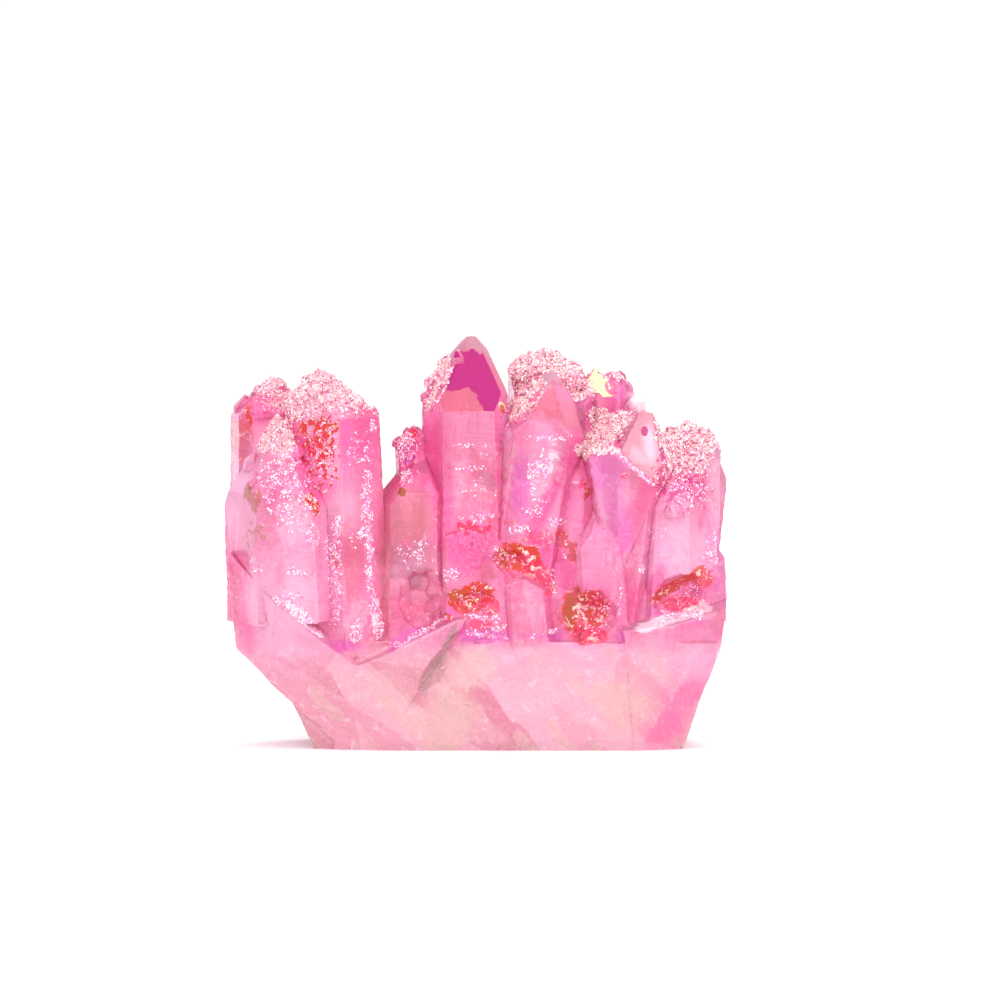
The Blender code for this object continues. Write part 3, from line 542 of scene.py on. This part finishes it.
# Broken, uneven quartz between the prism faces of the front
RUBBLE = (
    spot((4, -12, 25), (11, 3, 6.5)),
    spot((12.6, -11, 31), (2.4, 3, 6)),
    spot((-7.6, -12, 21), (5, 3, 4)),
    spot((29, -11, 22), (5, 4, 4)),
    spot((29.6, -9, 35), (4.4, 4, 4.4)),
    spot((-32.5, -8, 22), (3, 8, 7)),
)
CROWNS = ("left_crown_druse", "right_crown_druse")


# Helpers for objects and edit mode

def deselect():
    """Leave nothing selected, so that operators act only on what is picked next."""
    for thing in bpy.context.selected_objects:
        thing.select_set(False)


def pick(piece):
    """Make a piece the one thing that operators act on."""
    deselect()
    piece.select_set(True)
    bpy.context.view_layer.objects.active = piece


def add(name, operator, **settings):
    """Run an operator that adds one object, and name the object."""
    deselect()
    operator(**settings)
    bpy.context.object.name = name
    return bpy.context.object


def copy_of_node(name):
    """A piece with the node's shape, its loose triangles merged into whole faces."""
    piece = bpy.data.objects.new(name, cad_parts[NODE].data.copy())
    piece.data.name = name
    piece.data.materials.clear()
    bpy.context.scene.collection.objects.link(piece)
    pick(piece)
    bpy.ops.object.mode_set(mode="EDIT")
    bpy.ops.mesh.select_all(action="SELECT")
    bpy.ops.mesh.remove_doubles(threshold=MERGE_DISTANCE)
    bpy.ops.mesh.dissolve_limited(angle_limit=math.radians(FLAT_ANGLE))
    bpy.ops.mesh.quads_convert_to_tris(quad_method="BEAUTY", ngon_method="BEAUTY")
    bpy.ops.object.mode_set(mode="OBJECT")
    return piece


def refine(piece, step):
    """Split the long edges until none is much longer than the step."""
    bpy.ops.object.mode_set(mode="EDIT")
    bpy.ops.mesh.select_mode(type="EDGE")
    for _ in range(REFINE_ROUNDS):
        mesh = bmesh.from_edit_mesh(piece.data)
        longest = 0.0
        for edge in mesh.edges:
            longest = max(longest, edge.calc_length())
            edge.select_set(False)
        limit = max(step, longest * REFINE_SHARE)
        for edge in mesh.edges:
            if edge.calc_length() > limit:
                edge.select_set(True)
        mesh.select_flush_mode()
        bmesh.update_edit_mesh(piece.data)
        bpy.ops.mesh.subdivide(number_cuts=1)
        bpy.ops.mesh.select_all(action="SELECT")
        bpy.ops.mesh.quads_convert_to_tris(quad_method="SHORTEST_DIAGONAL", ngon_method="BEAUTY")
        if longest * REFINE_SHARE < step:
            break
    bpy.ops.object.mode_set(mode="OBJECT")


def apply(piece, modifier):
    """Turn a modifier into the piece's own mesh."""
    pick(piece)
    bpy.ops.object.modifier_apply(modifier=modifier.name)


def read(items, name):
    """A vector of each item, as rows."""
    values = np.empty(len(items) * 3)
    items.foreach_get(name, values)
    return values.reshape(-1, 3)


def ramp(values, start, end):
    """0 up to start, 1 from end on, and a smooth step between."""
    share = np.clip((values - start) / (end - start), 0.0, 1.0)
    return share * share * (3.0 - 2.0 * share)


def lay(spots, places, normals):
    """For each place: depth in the nearest spot (0.5 on its border), its strength and blots."""
    found = np.zeros((len(places), 3))
    for area in spots:
        centre = np.array(area["centre"])
        run = np.array(area["run"])
        reach = 2.0 * max(area["size"]) + np.linalg.norm(run)
        near = np.flatnonzero(np.abs(places - centre).max(axis=1) < reach)
        offset = places[near] - centre
        if run.any():
            offset -= np.clip(offset @ run / (run @ run), 0.0, 1.0)[:, None] * run
        depth = np.clip(1.0 - 0.5 * np.linalg.norm(offset / area["size"], axis=1), 0.0, 1.0)
        facing = np.array(area["facing"])
        if facing.any():
            side = normals[near] @ (facing / np.linalg.norm(facing))
            depth *= ramp(side, area["spread"] - FACING_SOFTNESS, area["spread"] + FACING_SOFTNESS)
        deeper = depth > found[near, 0]
        rows = near[deeper]
        found[rows, 0] = depth[deeper]
        found[rows, 1] = area["strength"]
        found[rows, 2] = area["blots"]
    return found


def creases(mesh, sharpest):
    """Distance in millimetres from each vertex to the nearest ridge, and to the nearest valley."""
    work = bmesh.new()
    work.from_mesh(mesh)
    reaches = []
    for side in (1.0, -1.0):
        folds = [edge for edge in work.edges if edge.calc_face_angle_signed(0.0) * side > sharpest]
        ends = {vertex.index: vertex.co for edge in folds for vertex in edge.verts}
        tree = KDTree(len(ends))
        for index, place in ends.items():
            tree.insert(place, index)
        tree.balance()
        reaches.append(np.array([tree.find(vertex.co)[2] / MM for vertex in work.verts]))
    work.free()
    return reaches


def write(mesh, name, values, kind="FLOAT", domain="POINT"):
    """Store values on the mesh for the node trees to read."""
    layer = mesh.attributes.new(name, kind, domain)
    field = "value" if kind == "FLOAT" else "vector"
    layer.data.foreach_set(field, values.astype(np.float32).ravel())


# Helpers for node trees

class Graph:
    """A node tree that is built one node at a time.

    node() returns the new node, and the other calls return its output. Textures have their scale
    per millimetre.
    """

    def __init__(self, tree):
        self.tree = tree

    def feed(self, socket, source):
        """Link an output to the socket, or set the socket to a value."""
        if isinstance(source, bpy.types.NodeSocket):
            self.tree.links.new(source, socket)
        elif source is not None:
            socket.default_value = source

    def node(self, kind, inputs=None, **settings):
        """A node of a kind, with what its inputs get and how it is set."""
        made = self.tree.nodes.new(kind)
        for name, value in settings.items():
            setattr(made, name, value)
        for name, source in (inputs or {}).items():
            self.feed(made.inputs[name], source)
        return made

    def math(self, operation, first, second=None, third=None, clamp=False):
        made = self.node("ShaderNodeMath", {0: first, 1: second, 2: third}, operation=operation)
        made.use_clamp = clamp
        return made.outputs[0]

    def times(self, first, *others):
        """A product of two values or more."""
        for other in others:
            first = self.math("MULTIPLY", first, other)
        return first

    def vector(self, operation, first, second=None, scale=None):
        """A vector sum, product or scaling, or the number that a dot product gives."""
        made = self.node("ShaderNodeVectorMath", {0: first, 1: second}, operation=operation)
        if scale is not None:
            self.feed(made.inputs["Scale"], scale)
        return made.outputs["Value" if operation in ("DOT_PRODUCT", "LENGTH") else "Vector"]

    def step(self, value, start, end, low=0.0, high=1.0):
        """low up to start, high from end on, smooth between. End may lie below start."""
        made = self.node(
            "ShaderNodeMapRange",
            {"Value": value, "From Min": start, "From Max": end, "To Min": low, "To Max": high},
            interpolation_type="SMOOTHSTEP",
        )
        return made.outputs["Result"]

    def mix(self, share, first, second):
        """The first colour, turned into the second by a share from 0 to 1."""
        made = self.node("ShaderNodeMix", data_type="RGBA", blend_type="MIX")
        for place, source in ((0, share), (6, first), (7, second)):
            if isinstance(source, tuple):
                source = source + (1.0,)
            self.feed(made.inputs[place], source)
        return made.outputs[2]

    def noise(self, place, scale, detail=3.0, roughness=0.5, distortion=0.0, output="Fac"):
        made = self.node(
            "ShaderNodeTexNoise",
            {"Vector": place, "Scale": scale, "Detail": detail, "Roughness": roughness,
             "Distortion": distortion},
        )
        return made.outputs[output]

    def cells(self, place, scale, output="Distance", feature="F1"):
        made = self.node(
            "ShaderNodeTexVoronoi", {"Vector": place, "Scale": scale, "Randomness": 1.0},
            feature=feature,
        )
        return made.outputs[output]

    def panes(self, place, scale):
        """A random value for each cell of a cracked pattern."""
        cell = self.cells(place, scale, "Color")
        return self.node("ShaderNodeSeparateColor", {0: cell}).outputs[0]

    def parts(self, source):
        """The X, Y and Z of a vector."""
        return self.node("ShaderNodeSeparateXYZ", {0: source}).outputs

    def carried(self, name, output="Fac"):
        """A value that the mesh carries, in a material."""
        return self.node("ShaderNodeAttribute", attribute_name=name).outputs[output]

    def stored(self, name, kind="FLOAT"):
        """A value that the mesh carries, in a geometry tree."""
        made = self.node("GeometryNodeInputNamedAttribute", {"Name": name}, data_type=kind)
        return made.outputs[0]

    def chance(self, seed, low=0.0, high=1.0):
        """A random value for each point, in a geometry tree."""
        made = self.node("FunctionNodeRandomValue", data_type="FLOAT")
        for place, source in ((2, low), (3, high), ("Seed", seed)):
            self.feed(made.inputs[place], source)
        return made.outputs[1]

    def ragged(self, noise):
        """How far a spot's border strays, from a noise."""
        return self.math("MULTIPLY_ADD", noise, 0.5, -0.25)

    def patchy(self, found, edge, blots):
        """How fully a spot covers a place, from what lay() stored there."""
        depth, strength, islands = self.parts(found)[:3]
        broken = self.times(self.math("SUBTRACT", blots, BLOT_LEVEL), islands)
        return self.math("ADD", self.math("ADD", depth, edge), broken), strength


def fix(node, values):
    """Give some inputs of a node their fixed values."""
    for name, value in values.items():
        node.inputs[name].default_value = value


def start_material(name):
    """A material with one Principled shader, and the graph that feeds it."""
    material = bpy.data.materials.new(name)
    material.use_nodes = True
    return material, Graph(material.node_tree), material.node_tree.nodes["Principled BSDF"]


def millimetres(graph):
    """The place on the piece, in millimetres, in a material."""
    place = graph.node("ShaderNodeTexCoord").outputs["Object"]
    return graph.vector("SCALE", place, scale=1 / MM)


def body_material(colours):
    """Coated crystals on a broken foot, with the stains of STAINS laid over them."""
    material, graph, shader = start_material("aura_quartz")

    def tint(name):
        return tuple(getattr(colours, name))

    def over(base, name, *shares):
        """The base, turned into a named colour by the product of the shares."""
        return graph.mix(graph.times(*shares), base, tint(name))

    place = millimetres(graph)
    normal = graph.node("ShaderNodeNewGeometry").outputs["Normal"]
    height = graph.parts(place)["Z"]
    wander = graph.noise(place, 0.35, 1.0, output="Color")
    bent = graph.vector("ADD", place, graph.vector("SCALE", wander, scale=1.1))
    mottle = graph.noise(place, 0.8, 4.0, 0.6)
    grain = graph.noise(place, 2.2, 4.0, 0.75)
    # Coated crystals: the tint turns with the way a face looks, and panes inside are deeper.
    turn = graph.vector("DOT_PRODUCT", normal, TINT_WAY)
    coat = over(tint("lilac"), "pink", graph.step(turn, -0.9, 0.15))
    coat = over(coat, "hot", graph.step(turn, 0.35, 0.85, 0.0, 0.7))
    tall = graph.panes(graph.vector("MULTIPLY", bent, (0.3, 0.3, 0.12)), 1.0)
    coat = over(coat, "deep_pink", graph.step(tall, 0.45, 0.9, 0.0, 0.8))
    coat = over(coat, "foot", graph.step(mottle, 0.5, 0.75, 0.0, 0.2))
    streaks = graph.noise(graph.vector("MULTIPLY", place, (1.7, 1.7, 0.22)), 1.0, 3.0, 0.6)
    coat = over(coat, "hot", graph.step(streaks, 0.52, 0.68, 0.0, 0.55))
    # The broken foot below the ledge
    slanted = graph.vector("ADD", graph.vector("MULTIPLY", bent, (1.0, 1.0, 0.55)),
                           graph.vector("SCALE", (0.75, 0.0, 0.0), scale=height))
    wide = graph.panes(graph.vector("ADD", slanted, (7.7, 0.0, 1.5)), 0.15)
    small = graph.panes(slanted, 0.33)
    foot = over(tint("foot"), "foot_deep", graph.step(wide, 0.3, 0.9, 0.0, 0.9))
    foot = over(foot, "foot_beige", graph.step(small, 0.4, 0.9, 0.0, 0.6))
    crack = graph.cells(slanted, 0.33, feature="DISTANCE_TO_EDGE")
    crack = graph.step(crack, 0.035, 0.01, 0.0, 0.4)
    foot = over(foot, "white", crack, graph.step(mottle, 0.5, 0.6))
    foot = over(foot, "white", graph.step(mottle, 0.5, 0.8, 0.0, 0.2))
    foot = over(foot, "pink", graph.step(height, 7.0, 17.0, 0.0, 0.5))
    uneven = graph.math("MULTIPLY_ADD", graph.math("SUBTRACT", mottle, 0.5), 3.0, height)
    crystal = graph.step(uneven, *COATING_START)
    base = graph.mix(crystal, foot, coat)
    # Pale and deep growth lines cross the prism faces.
    upright = graph.step(graph.math("ABSOLUTE", graph.parts(normal)["Z"]), *reversed(UPRIGHT))
    lines = graph.noise(graph.vector("MULTIPLY", place, (0.25, 0.25, 3.2)), 1.0, 2.0, 0.6)
    upright = graph.times(upright, graph.step(mottle, 0.4, 0.6, 0.15, 0.7), crystal)
    base = over(base, "foot", graph.step(lines, 0.56, 0.66, 0.0, 0.6), upright)
    base = over(base, "rose", graph.step(lines, 0.44, 0.34, 0.0, 0.5), upright)
    # Where crystals meet, hot pink is painted into the valleys as shade.
    valley = graph.carried("valley")
    base = over(base, "hot", graph.step(valley, 2.2, 0.2, 0.0, 0.5), crystal)
    # Stains, with ragged borders
    edge = graph.ragged(mottle)
    blots = graph.step(graph.noise(place, 0.95, 3.0, 0.65, 0.5), 0.38, 0.62)
    opaque = 0.0
    rust = 0.0
    for name, softness in LAYERS:
        found = graph.carried("stain_" + name, "Vector")
        level, strength = graph.patchy(found, edge, blots)
        cover = graph.times(graph.step(level, 0.5 - softness, 0.5 + softness), strength)
        base = over(base, name, cover)
        if name in OPAQUE:
            opaque = graph.math("MAXIMUM", opaque, cover)
        if name in RUSTY:
            rust = graph.math("MAXIMUM", rust, cover)
    flecks = graph.step(graph.noise(place, 0.9, 3.0, 0.6, 1.0), 0.58, 0.62, 0.0, 0.85)
    base = over(base, "ivory", flecks, rust)
    # Fine pits, and fine painted glint highlights, away from the opaque stains
    bare = graph.math("MULTIPLY_ADD", opaque, -1.0, 1.0, clamp=True)
    rugged = graph.times(graph.step(graph.noise(place, 0.45, 2.0), 0.4, 0.6, 0.25, 1.0), bare)
    base = over(base, "glint", graph.step(grain, 0.55, 0.7, 0.0, 0.5), rugged)
    base = over(base, "rose", graph.step(grain, 0.45, 0.3, 0.0, 0.35), rugged)
    # Rose is painted along the narrow valleys as shade, and pale lines along the ridges as painted
    # highlights.
    valley_shade = graph.step(valley, 0.3, 0.08, 0.0, 0.6)
    base = over(base, "rose", valley_shade, crystal, graph.step(mottle, 0.4, 0.55, 0.2, 1.0))
    ridge = graph.carried("ridge")
    # Painted highlight: a pale line along the ridges
    worn = graph.step(ridge, 0.22, 0.06, 0.0, 0.45)
    base = over(base, "foot", worn, graph.step(mottle, 0.48, 0.6), bare)
    # Below the drusy crusts the quartz is pale, with pink pits.
    under = graph.carried("crown")
    under = graph.step(graph.math("ADD", under, edge), 0.5, 0.62)
    pits = graph.step(graph.noise(place, 2.2, 2.0, 0.7), 0.42, 0.5)
    crown = over(tint("pink"), "foot", pits)
    base = graph.mix(graph.times(under, 0.85), base, crown)
    graph.feed(shader.inputs["Base Color"], base)
    rough = graph.step(uneven, *COATING_START, FOOT_ROUGHNESS, CRYSTAL_ROUGHNESS)
    rough = graph.math("MULTIPLY_ADD", graph.step(mottle, 0.4, 0.7), 0.12, rough)
    graph.feed(shader.inputs["Roughness"], rough)
    clear = graph.math("MULTIPLY_ADD", crystal, CRYSTAL_CLEAR, FOOT_CLEAR)
    hidden = graph.math("MULTIPLY_ADD", opaque, -0.9, 1.0, clamp=True)
    graph.feed(shader.inputs["Transmission Weight"], graph.times(clear, hidden))
    # The growth lines, grain and mottle also stand out a little.
    relief = graph.times(lines, upright)
    relief = graph.math("MULTIPLY_ADD", grain, 0.14, relief)
    relief = graph.math("MULTIPLY_ADD", mottle, 0.3, relief)
    bump = graph.node(
        "ShaderNodeBump",
        {"Height": relief, "Strength": BUMP_STRENGTH, "Distance": BUMP_HEIGHT},
    )
    graph.feed(shader.inputs["Normal"], bump.outputs[0])
    fix(shader, {
        "IOR": QUARTZ_IOR, "Specular IOR Level": BODY_GLOSS, "Specular Tint": COATING_TINT,
        "Coat Weight": BODY_COAT, "Coat Roughness": BODY_COAT_ROUGHNESS,
    })
    return material


# Colours of the grains, from the rarest dark ones to the pale ones that make up most of a crust; the
# darkest stand in for painted shade between the grains, the white ones for painted sparkle
DRUSE_STOPS = (
    (0.0, "pit"), (0.14, "pit"), (0.24, "rose"), (0.33, "pink"), (0.42, "foot"),
    (0.54, "foot_beige"), (0.66, "ivory"), (0.78, "white"),
)
GLITTER_STOPS = (
    (0.0, "rose"), (0.2, "deep_pink"), (0.32, "orchid"), (0.44, "lilac"),
    (0.58, "foot"), (0.66, "white"),
)


def grain_material(name, colours, stops):
    """Small clear crystals, each of one colour from the stops."""
    material, graph, shader = start_material(name)
    tone = graph.carried("tone")
    ramp_node = graph.node("ShaderNodeValToRGB", {"Fac": tone})
    elements = ramp_node.color_ramp.elements
    while len(elements) < len(stops):
        elements.new(0.5)
    for element, (position, tint) in zip(elements, stops):
        element.position = position
        element.color = tuple(getattr(colours, tint)) + (1.0,)
    graph.feed(shader.inputs["Base Color"], ramp_node.outputs["Color"])
    fix(shader, {
        "Roughness": GRAIN_ROUGHNESS, "IOR": QUARTZ_IOR,
        "Coat Weight": GRAIN_COAT, "Coat Roughness": GRAIN_COAT_ROUGHNESS,
    })
    return material


def start_geometry(name):
    """A geometry tree with its graph and the mesh that comes in."""
    tree = bpy.data.node_groups.new(name, "GeometryNodeTree")
    for way in ("INPUT", "OUTPUT"):
        tree.interface.new_socket("Geometry", in_out=way, socket_type="NodeSocketGeometry")
    graph = Graph(tree)
    return tree, graph, graph.node("NodeGroupInput").outputs[0]


def surface_place(graph):
    """The place on the piece, in millimetres, in a geometry tree."""
    return graph.vector("SCALE", graph.node("GeometryNodeInputPosition").outputs[0], scale=1 / MM)


def relief_tree(sizes):
    """Geometry nodes: scars in the foot, growth steps on prism faces, lumps under the crusts."""
    tree, graph, given = start_geometry("relief")
    place = surface_place(graph)
    bend = graph.noise(place, 0.25, 2.0, 0.5, output="Color")
    bent = graph.vector("ADD", place, graph.vector("SCALE", bend, scale=3.0))
    scar = graph.math("MULTIPLY_ADD", graph.cells(bent, 0.42), 0.35,
                      graph.cells(bent, 0.16, feature="SMOOTH_F1"))
    scar = graph.times(graph.math("SUBTRACT", scar, 0.75), sizes.fracture_depth)
    steps = graph.noise(graph.vector("MULTIPLY", place, (0.12, 0.12, 0.9)), 1.0, 2.0, 0.6)
    steps = graph.math("SUBTRACT", graph.step(steps, 0.42, 0.58), 0.5)
    steps = graph.times(steps, sizes.growth_depth)
    lumps = graph.math("SUBTRACT", graph.noise(place, 0.75, 3.0, 0.6), 0.46)
    lumps = graph.times(lumps, sizes.lump_depth * LUMP_NOISE)
    moved = graph.times(scar, graph.stored("broken"))
    moved = graph.math("MULTIPLY_ADD", steps, graph.stored("grown"), moved)
    moved = graph.math("MULTIPLY_ADD", lumps, graph.stored("lumpy"), moved)
    moved = graph.vector("SCALE", graph.node("GeometryNodeInputNormal").outputs[0], scale=moved)
    made = graph.node("GeometryNodeSetPosition", {"Geometry": given, "Offset": moved})
    graph.tree.links.new(made.outputs[0], graph.node("NodeGroupOutput").inputs[0])
    return tree


def crust_tree(name, sizes, grains, seed):
    """Geometry nodes that cover a crust's spots with grains."""
    share = GRAIN_SHARES[name]
    tree, graph, given = start_geometry(name)
    found = graph.stored(name, "FLOAT_VECTOR")
    spread = graph.node("GeometryNodeDistributePointsOnFaces", distribute_method="POISSON")
    graph.feed(spread.inputs["Mesh"], given)
    graph.feed(spread.inputs["Distance Min"], sizes.grain_size * GRAIN_GAP * share)
    graph.feed(spread.inputs["Density Max"], sizes.grains_per_mm2 / MM ** 2)
    graph.feed(spread.inputs["Density Factor"], graph.step(graph.parts(found)["X"], 0.3, 0.4))
    graph.feed(spread.inputs["Seed"], seed)
    place = surface_place(graph)
    blots = graph.step(graph.noise(place, 1.1, 3.0, 0.7), 0.36, 0.62)
    edge = graph.ragged(graph.noise(place, 1.6, 2.0))
    level, strength = graph.patchy(found, edge, blots)
    level = graph.times(graph.step(level, 0.46, 0.56), strength)
    bare = graph.node(
        "FunctionNodeCompare", {0: level, 1: graph.chance(seed + 4)}, operation="LESS_THAN",
    )
    kept = graph.node(
        "GeometryNodeDeleteGeometry",
        {"Geometry": spread.outputs["Points"], "Selection": bare.outputs[0]},
        domain="POINT",
    )
    kinds = graph.node("GeometryNodeJoinGeometry")
    for grain in grains:
        one = graph.node("GeometryNodeObjectInfo", {"Object": grain, "As Instance": True})
        graph.tree.links.new(one.outputs["Geometry"], kinds.inputs[0])
    lean = graph.node(
        "FunctionNodeRandomValue",
        {"Min": (-GRAIN_LEAN, -GRAIN_LEAN, 0.0), "Max": (GRAIN_LEAN, GRAIN_LEAN, 2 * math.pi),
         "Seed": seed + 1},
        data_type="FLOAT_VECTOR",
    )
    turned = graph.node(
        "FunctionNodeRotateRotation",
        {"Rotation": spread.outputs["Rotation"], "Rotate By": lean.outputs[0]},
        rotation_space="LOCAL",
    )
    scale = graph.times(graph.math("POWER", graph.chance(seed + 2, 0.7, 1.25), 2.0), share)
    placed = graph.node(
        "GeometryNodeInstanceOnPoints",
        {"Points": kept.outputs[0], "Instance": kinds.outputs[0], "Pick Instance": True,
         "Rotation": turned.outputs[0], "Scale": scale},
    )
    # Grains of one colour lie together in small clumps.
    clumps = graph.step(graph.noise(place, 1.3, 3.0, 0.7), 0.3, 0.7)
    tone = graph.math("MULTIPLY_ADD", clumps, 0.3, graph.chance(seed + 3, 0.0, 0.7))
    toned = graph.node(
        "GeometryNodeStoreNamedAttribute",
        {"Geometry": placed.outputs[0], "Name": "tone", "Value": tone},
        data_type="FLOAT", domain="INSTANCE",
    )
    real = graph.node("GeometryNodeRealizeInstances", {"Geometry": toned.outputs[0]})
    graph.tree.links.new(real.outputs[0], graph.node("NodeGroupOutput").inputs[0])
    return tree


def druse_grain(name, sides, radius, height):
    """One small crystal, pointed above and below."""
    grain = add(
        name, bpy.ops.mesh.primitive_cone_add,
        vertices=sides, radius1=radius, depth=height, location=(0, 0, height * GRAIN_RISE),
    )
    bpy.ops.object.transform_apply(location=True)
    bpy.ops.object.mode_set(mode="EDIT")
    bpy.ops.mesh.select_all(action="DESELECT")
    bpy.ops.mesh.select_face_by_sides(number=sides)
    bpy.ops.mesh.poke(offset=height * GRAIN_BASE)
    bpy.ops.object.mode_set(mode="OBJECT")
    return grain


def geometry_modifier(piece, tree):
    """A modifier that runs a geometry tree on the piece."""
    modifier = piece.modifiers.new(tree.name, "NODES")
    modifier.node_group = tree
    return modifier


class QUARTZ_OT_body(bpy.types.Operator):
    """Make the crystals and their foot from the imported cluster"""

    bl_idname = "quartz.body"
    bl_label = "Crystals and foot"

    def execute(self, context):
        sizes = context.scene.quartz_sizes
        body = copy_of_node("crystal_body")
        refine(body, sizes.surface_step)
        mesh = body.data
        places = read(mesh.vertices, "co") / MM
        normals = read(mesh.vertices, "normal")
        height = places[:, 2]
        sawn = ramp(height, *UNDERSIDE)
        upright = 1.0 - ramp(np.abs(normals[:, 2]), *UPRIGHT)
        rubble = RUBBLE_SHARE * ramp(lay(RUBBLE, places, normals)[:, 0], *RUBBLE_BORDER)
        write(mesh, "broken", np.maximum((1.0 - ramp(height, *SCARS_END)) * sawn, rubble))
        write(mesh, "grown", upright * ramp(height, *GROWTH_START))
        lumpy = np.zeros(len(places))
        crown = np.zeros(len(places))
        for name, spots in CRUSTS.items():
            found = lay(spots, places, normals)
            write(mesh, name, found, "FLOAT_VECTOR")
            lumpy = np.maximum(lumpy, LUMPS[name] * ramp(found[:, 0], *LUMP_BORDER))
            if name in CROWNS:
                crown = np.maximum(crown, found[:, 0])
        write(mesh, "lumpy", lumpy)
        ridge, valley = creases(mesh, CREASE_ANGLE)
        write(mesh, "ridge", ridge)
        write(mesh, "valley", valley)
        write(mesh, "crown", crown)
        corners = np.empty(len(mesh.loops), dtype=np.int32)
        mesh.loops.foreach_get("vertex_index", corners)
        sides = np.repeat(read(mesh.polygons, "normal"), 3, axis=0)
        for name, spots in STAINS.items():
            found = lay(spots, places[corners], sides)
            write(mesh, "stain_" + name, found, "FLOAT_VECTOR", "CORNER")
        worn = body.vertex_groups.new(name="worn")
        weights = sawn * (1.0 - WEAR_LOSS * ramp(height, *WEAR_END))
        for index, weight in enumerate(weights):
            worn.add((index,), float(weight), "REPLACE")
        smooth = body.modifiers.new("worn_edges", "SMOOTH")
        smooth.factor = sizes.edge_wear
        smooth.iterations = WEAR_ROUNDS
        smooth.vertex_group = "worn"
        apply(body, smooth)
        apply(body, geometry_modifier(body, relief_tree(sizes)))
        pick(body)
        bpy.ops.object.shade_smooth_by_angle(angle=math.radians(SMOOTH_ANGLE))
        body.data.materials.append(body_material(context.scene.quartz_colours))
        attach(body, "root")
        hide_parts(NODE)
        return {"FINISHED"}


class QUARTZ_OT_crusts(bpy.types.Operator):
    """Cover the crowns, the ledge and some faces with crusts of small crystals"""

    bl_idname = "quartz.crusts"
    bl_label = "Drusy crusts"

    def execute(self, context):
        sizes = context.scene.quartz_sizes
        colours = context.scene.quartz_colours
        size = sizes.grain_size
        grains = [
            druse_grain(name, sides, size * radius, size * height)
            for name, (sides, radius, height) in GRAINS.items()
        ]
        body = bpy.data.objects["crystal_body"]
        druse = grain_material("aura_druse", colours, DRUSE_STOPS)
        glitter = grain_material("aura_glitter", colours, GLITTER_STOPS)
        for number, name in enumerate(CRUSTS):
            crust = bpy.data.objects.new(name, body.data.copy())
            context.scene.collection.objects.link(crust)
            tree = crust_tree(name, sizes, grains, sizes.seed + 10 * number)
            apply(crust, geometry_modifier(crust, tree))
            crust.data.materials.clear()
            crust.data.materials.append(druse if name in CROWNS else glitter)
            crust.data.name = name
            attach(crust, "root")
        for grain in grains:
            bpy.data.objects.remove(grain)
        return {"FINISHED"}


class QUARTZ_OT_studio(bpy.types.Operator):
    """Make the floor, the lights and the camera"""

    bl_idname = "quartz.studio"
    bl_label = "Studio"

    def execute(self, context):
        floor = add("floor", bpy.ops.mesh.primitive_plane_add, size=FLOOR_SIZE)
        material, _, shader = start_material("floor_white")
        fix(shader, {"Base Color": FLOOR_WHITE, "Roughness": FLOOR_ROUGHNESS})
        floor.data.materials.append(material)
        world = bpy.data.worlds.new("studio")
        context.scene.world = world
        world.use_nodes = True
        fix(world.node_tree.nodes["Background"], {"Color": WORLD_WHITE, "Strength": WORLD_STRENGTH})
        aim = Vector(CAMERA_AIM) * MM
        for name, place, size, power in LIGHTS:
            light = add(name, bpy.ops.object.light_add, type="AREA", location=place)
            light.data.shape = "DISK"
            light.data.size = size
            light.data.energy = power
            light.rotation_euler = (Vector(place) - aim).to_track_quat("Z", "Y").to_euler()
        sun = add("sky_light", bpy.ops.object.light_add, type="SUN", rotation=SUN_TURN)
        sun.data.energy = SUN_POWER
        sun.data.angle = math.radians(SUN_WIDTH)
        tilt = math.radians(CAMERA_HEIGHT_ANGLE)
        away = Vector((0, -math.cos(tilt), math.sin(tilt)))
        camera = add("camera", bpy.ops.object.camera_add, location=aim + away * CAMERA_DISTANCE)
        camera.rotation_euler = away.to_track_quat("Z", "Y").to_euler()
        camera.data.sensor_width = SENSOR_WIDTH
        camera.data.lens = SENSOR_WIDTH * CAMERA_DISTANCE / FRAME_WIDTH
        camera.data.clip_start, camera.data.clip_end = CAMERA_CLIP
        context.scene.camera = camera
        context.scene.view_settings.view_transform = "Standard"
        return {"FINISHED"}


class QUARTZ_PT_panel(bpy.types.Panel):
    bl_label = "Aura Quartz Cluster"
    bl_idname = "QUARTZ_PT_panel"
    bl_space_type = "VIEW_3D"
    bl_region_type = "UI"
    bl_category = "Quartz"

    def draw(self, context):
        for settings in (context.scene.quartz_sizes, context.scene.quartz_colours):
            box = self.layout.box()
            for name in settings.__annotations__:
                box.prop(settings, name)
        for item in OPERATORS:
            self.layout.operator(item.bl_idname)


OPERATORS = (QUARTZ_OT_studio, QUARTZ_OT_body, QUARTZ_OT_crusts)
CLASSES = (QuartzSizes, QuartzColours) + OPERATORS + (QUARTZ_PT_panel,)


def register():
    for item in CLASSES:
        bpy.utils.register_class(item)
    bpy.types.Scene.quartz_sizes = bpy.props.PointerProperty(type=QuartzSizes)
    bpy.types.Scene.quartz_colours = bpy.props.PointerProperty(type=QuartzColours)


def unregister():
    del bpy.types.Scene.quartz_colours
    del bpy.types.Scene.quartz_sizes
    for item in reversed(CLASSES):
        bpy.utils.unregister_class(item)


def main():
    """Build everything."""
    register()
    bpy.ops.quartz.studio()
    bpy.ops.quartz.body()
    bpy.ops.quartz.crusts()


if __name__ == "__main__":
    main()
